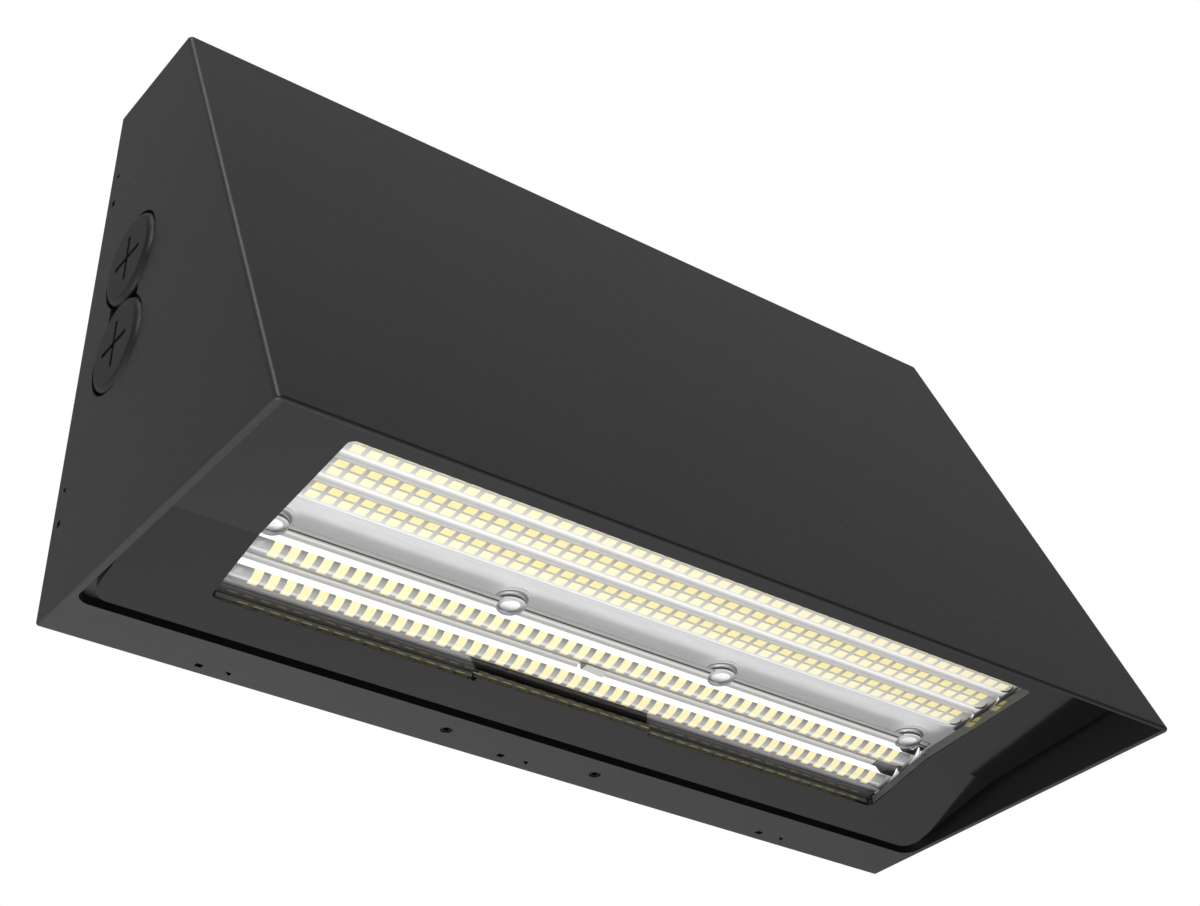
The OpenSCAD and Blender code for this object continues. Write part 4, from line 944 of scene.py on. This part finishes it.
# Ends of the rear bars
# At the right end each bar closes in a painted bright double rim of highlight over a hollow of
# painted dark shade, and the moulding's gate sits on the second ridge, just left of the middle,
# in a painted grey with a painted shade beside it and a painted white glint in its notch. A
# painted dark plate stands for the tab's shadow.
hollow_shades = [[(-3.6, "343432"), (0.6, "2a2a29"), (2.0, "141414"), (4.9, "141414")],
                 [(12.7, "3c3c3c"), (14.3, "5c5c5b"), (15.6, "343434"), (16.5, "141414"), (19.2, "141414")]]
hollow_x = (125.5, 140.6)
hollow_lift = 0.3
rim_paths = [[(137.2, -0.4), (140.3, 4.9), (141.0, 9.8)], [(138.3, 13.8), (140.8, 18.0), (142.0, 23.5)]]
outer_rim_paths = [[(139.6, 1.0), (141.2, 4.0), (141.9, 7.0)], [(140.3, 14.8), (141.8, 17.8), (142.5, 20.8)]]
rim_w = 1.3
outer_rim_w = 0.8
rim_z = (-0.25, -0.05)
gate_outline = [(-5.9, 13.0), (2.6, 13.1), (3.1, 16.9), (-6.2, 16.0)]
gate_z = (-0.45, -0.2)
gate_shade = [(-8.6, 13.2), (-5.9, 13.0), (-6.2, 16.0), (-7.0, 15.6)]
gate_shade_z = (-0.35, -0.2)
gate_notch = [(-8.9, 14.0), (-8.1, 14.0), (-6.4, 16.7), (-8.0, 16.7)]
gate_notch_z = (-0.5, -0.36)
tab_shade = [(-45.0, 27.2), (30.3, 27.2), (33.2, 32.0), (-39.4, 32.0)]
tab_shade_z = (-0.15, -0.03)


def flat_pieces(name, outlines, heights, material):
    """Flat plates from outlines of one length, between two heights over the rear rows' plane."""
    low, high = heights
    add_plates(name, outlines, rear_face + low, rear_face + high, rear_tilt, material)


for k, shades in enumerate(hollow_shades):
    look = acrylic_painted_bands("hollow_look_%d" % k, rear_tilt, shades)
    band("rear_hollow_%d" % k, shade_span(shades), *hollow_x, look, rear_face + hollow_lift)
gate_grey = acrylic_painted_tone("gate_grey", "acacab", 0.05)
gate_dark = acrylic_painted_tone("gate_dark", "5a5a58", 0.0)
for name, paths, width in [("rear_rims", rim_paths, rim_w),
                           ("rear_outer_rims", outer_rim_paths, outer_rim_w)]:
    flat_pieces(name, [tapered_ribbon(path, width) for path in paths], rim_z, painted_edge_highlight)
flat_pieces("rear_gate", [gate_outline], gate_z, gate_grey)
flat_pieces("rear_gate_shade", [gate_shade], gate_shade_z, gate_dark)
flat_pieces("rear_gate_notch", [gate_notch], gate_notch_z, painted_facet_highlight)
flat_pieces("rear_tab_shade", [tab_shade], tab_shade_z, painted_dark_shade)

# Window lining
# The lenses have a thin skirt that lines the window's walls down to the frame's face, drawn in a
# grey with a painted glow, like the strip beyond the front channels' ends. The nearest packages'
# reflections in its polished back are painted as dim yellow cells and dashes, the lowest in a
# painted shaded yellow.
lining_t = 0.12
right_wall_x = 139.65
right_lining = {"front": [(-55.6, 0.4), (0, 0.4), (0, 3.9), (-53.9, 3.9)],
                "rear": [(0, 0.4), (32.2, 0.4), (31.7, 3.3), (0, 3.3)]}
mirrored_cells = [[(-6.1, 3.8), (-7.9, 2.7), (-5.5, 2.25), (-3.1, 3.8)],
                  [(-1.9, 3.8), (-5.1, 1.95), (-2.0, 1.6), (1.1, 3.7)]]
rear_wall_y = 31.9
cell_lift = 0.06
tab_x = (-40.0, 33.0)
tab_reach = 1.8
lining_low = 1.15
lining_high = 2.75
wall_cell = (4.3, 0.75)
wall_cell_z = 0.55
wall_dash = (3.6, 0.34)
wall_dash_z = 1.6
inner_dash = (3.6, 0.5)
inner_dash_y = 32.3
inner_dash_end = 138
inner_dash_corner = 0.2
inner_dash_z = (-0.1, -0.02)
cell_spread = (0.985, 1.3)
wall_dash_shift = 1.4
inner_dash_spread = (1.02, 0.35)
end_strip = [(139.9, -56.0), (143.2, -56.0), (143.2, -15.5), (139.9, -15.5)]
end_strip_z = (5.3, 5.4)
rear_middles = np.array([-90.5, -3.5, 86.4])
rear_widths = np.array([98.8, 72.6, 106.4])


def side_wall_pieces(name, outlines, tilt, material, x=right_wall_x):
    """Thin plates on the window's right wall, from outlines of (y, z) in a face's coordinates.

    Each plate is its outline at x and again at x + lining_t, joined by walls."""
    outlines = np.array(outlines, float)
    count, corners = outlines.shape[:2]
    points = np.zeros((count, 2, corners, 3))
    points[..., 1:] = outlines[:, None]
    points[:, 0, :, 0] = x
    points[:, 1, :, 0] = x + lining_t
    add_piece(name, on_face(points, tilt), plate_faces(count, corners), material)


def rear_wall_pieces(name, x, y, z, size, material):
    """Thin upright plates on the window's rear wall, about middles x at a depth y and height z.

    They stand upright in the frame of the wall: x is along it, and z is up from the face's line."""
    corners = np.array([(-1, -1), (-1, 1), (1, 1), (1, -1)]) / 2 * size
    points = np.zeros((len(x), 2, 4, 3))
    points[..., 0] = np.reshape(x, (-1, 1, 1)) + corners[:, 0]
    points[..., 1] = np.reshape(y, (-1, 1, 1)) + np.array([0, lining_t])[:, None]
    points[..., 2] = z + corners[:, 1] - points[..., 1] * math.tan(rear_tilt)
    add_piece(name, (bend_at + points) * millimetre, plate_faces(len(x), 4), material)


def beside_tab(x):
    """The depth of the rear wall at each x: nearer by the tab's reach where the tab is."""
    x = np.asarray(x, float)
    return rear_wall_y - tab_reach * ((x > tab_x[0]) & (x < tab_x[1]))


lining = acrylic_painted_tone("lining_grey_painted_glow", "4a4a48", 0.2)
dim_yellow = acrylic_painted_tone("mirrored_phosphor", "8f8858", 0.2)
dark_yellow = acrylic_painted_tone("shaded_phosphor", "37341c", 0.1)
side_wall_pieces("right_lining_front", [right_lining["front"]], front_tilt, lining)
side_wall_pieces("right_lining_rear", [right_lining["rear"]], rear_tilt, lining)
cells = [[(middle + y, z) for y, z in cell] for middle in channel_middles[1:] for cell in mirrored_cells]
side_wall_pieces("mirrored_cells", cells, front_tilt, dim_yellow, right_wall_x - cell_lift)
add_plates("front_end_strip", [end_strip], *end_strip_z, front_tilt, lining)
for k, width in enumerate(rear_widths):
    at = rear_middles[k:k + 1]
    rear_wall_pieces("rear_lining_%d" % k, at, beside_tab(at), (lining_low + lining_high) / 2,
                     (width, lining_high - lining_low), lining)
cell_x = rear_places * cell_spread[0] + cell_spread[1]
rear_wall_pieces("wall_cells", cell_x, beside_tab(cell_x) - cell_lift, wall_cell_z, wall_cell, dark_yellow)
dash_x = rear_places + wall_dash_shift
rear_wall_pieces("wall_dashes", dash_x, beside_tab(dash_x) - cell_lift, wall_dash_z, wall_dash, dim_yellow)
dash_x = rear_places * inner_dash_spread[0] + inner_dash_spread[1]
middles = np.stack([dash_x, np.full_like(dash_x, inner_dash_y)], -1)[dash_x < inner_dash_end]
flat_pieces("inner_dashes", middles[:, None] + round_rectangle(*inner_dash, inner_dash_corner),
            inner_dash_z, dim_yellow)

# Rear lens
# The second clear sheet, with two bars that are higher and further apart than the front ones; it
# lies a little lower than the first.
rear_bar = (10.9, 2.4, 278)
rear_bars = [6.37, 20.6]
rear_span = (0.8, 36.4)
barred_sheet("rear_lens_sheet", rear_tilt, rear_span, gasket_top - rear_drop, rear_bars, rear_bar,
             "rear_lens")

# Lens posts
# Studs of clear polycarbonate, pushed up through the spreader at its bend. Painted light and shade
# stand for what they bend and mirror: the dished lower face is painted pale, its rim a painted
# highlight, and the side wall shows a painted dark gap and painted light rings round the shank,
# shifted a little by the side they face. They have a faint painted glow.
post_profile = [(0, 0.62), (1.2, 0.6), (2.2, 0.52), (3.0, 0.38), (3.5, 0.2), (3.7, 0.12), (4.5, 0.0),
                (4.8, 0.1), (5.0, 0.35), (5.0, 1.9), (5.1, 2.2), (5.8, 2.3), (5.8, 3.0), (2.5, 3.0),
                (2.5, 7.0)]
post_shades = [(0, "b4b4b4"), (0.03, "9a9a9a"), (0.06, "c4c4c4"), (0.12, "fafafa"), (0.2, "f6f6f6"),
               (0.27, "181818"), (0.48, "0c0c0c"), (0.6, "9a9a9a"), (0.72, "d2d2d2"), (0.8, "6a6a6a"),
               (1.0, "a8a8a8")]
side_light_shift = (0.13, -0.13 / 3, 0)
post_head_h = 3.0


def turned(profile, middle, segments=64):
    """A solid of revolution about a vertical line, from (radius, height) pairs in millimetres.

    The pair (r, h) at the angle a is the point (r cos a, r sin a, h). The first pair is the tip on
    the axis, and a flat cap closes the last."""
    turn = np.linspace(0, 2 * math.pi, segments, endpoint=False)
    radius, height = np.array(profile[1:]).T
    ring = np.stack([np.outer(radius, np.cos(turn)), np.outer(radius, np.sin(turn)),
                     np.repeat(height[:, None], segments, 1)], -1)
    caps = [[0, 0, profile[0][1]], [0, 0, profile[-1][1]]]
    rows = len(radius)
    low, high = rows * segments, rows * segments + 1
    corner = np.arange(segments)
    after = (corner + 1) % segments
    top = (rows - 1) * segments
    faces = grid_faces(rows, segments, closed=True)
    faces += np.stack([np.full(segments, low), after, corner], -1).tolist()
    faces += np.stack([np.full(segments, high), top + corner, top + after], -1).tolist()
    return (np.concatenate([ring.reshape(-1, 3), caps]) + middle) * millimetre, faces


def clear_polycarbonate():
    """Polycarbonate, turned and polished, with painted light and dark rings that follow its height and shift
    with the side they face, and a faint painted glow.
    """
    material, tree, shader, place = new_material("clear_polycarbonate", {
        "IOR": 1.58, "Roughness": 0.08, "Coat Weight": 0.5, "Emission Strength": 0.05})
    split = add_node(tree, "SeparateXYZ", links={"Vector": place})
    share = add_node(tree, "MapRange", {"From Min": post_at[1] * millimetre,
                                        "From Max": (post_at[1] + post_head_h) * millimetre},
                     {"Value": split.outputs["Z"]})
    turn = add_node(tree, "TexCoord")
    lean = add_node(tree, "VectorMath", {"operation": "DOT_PRODUCT", 1: side_light_shift},
                    {0: turn.outputs["Normal"]})
    leant = add_node(tree, "Math", {"operation": "ADD"},
                     {0: share.outputs["Result"], 1: lean.outputs["Value"]})
    shade = add_node(tree, "ValToRGB", links={"Fac": leant.outputs[0]}, stops=post_shades)
    tint(tree, shader, shade.outputs["Color"])
    return material


polycarbonate = clear_polycarbonate()
for k, x in enumerate(post_places):
    points, faces = turned(post_profile, np.array([x, *post_at]))
    add_piece("lens_post_%d" % k, points, faces, polycarbonate, "lens_posts", smooth=True)
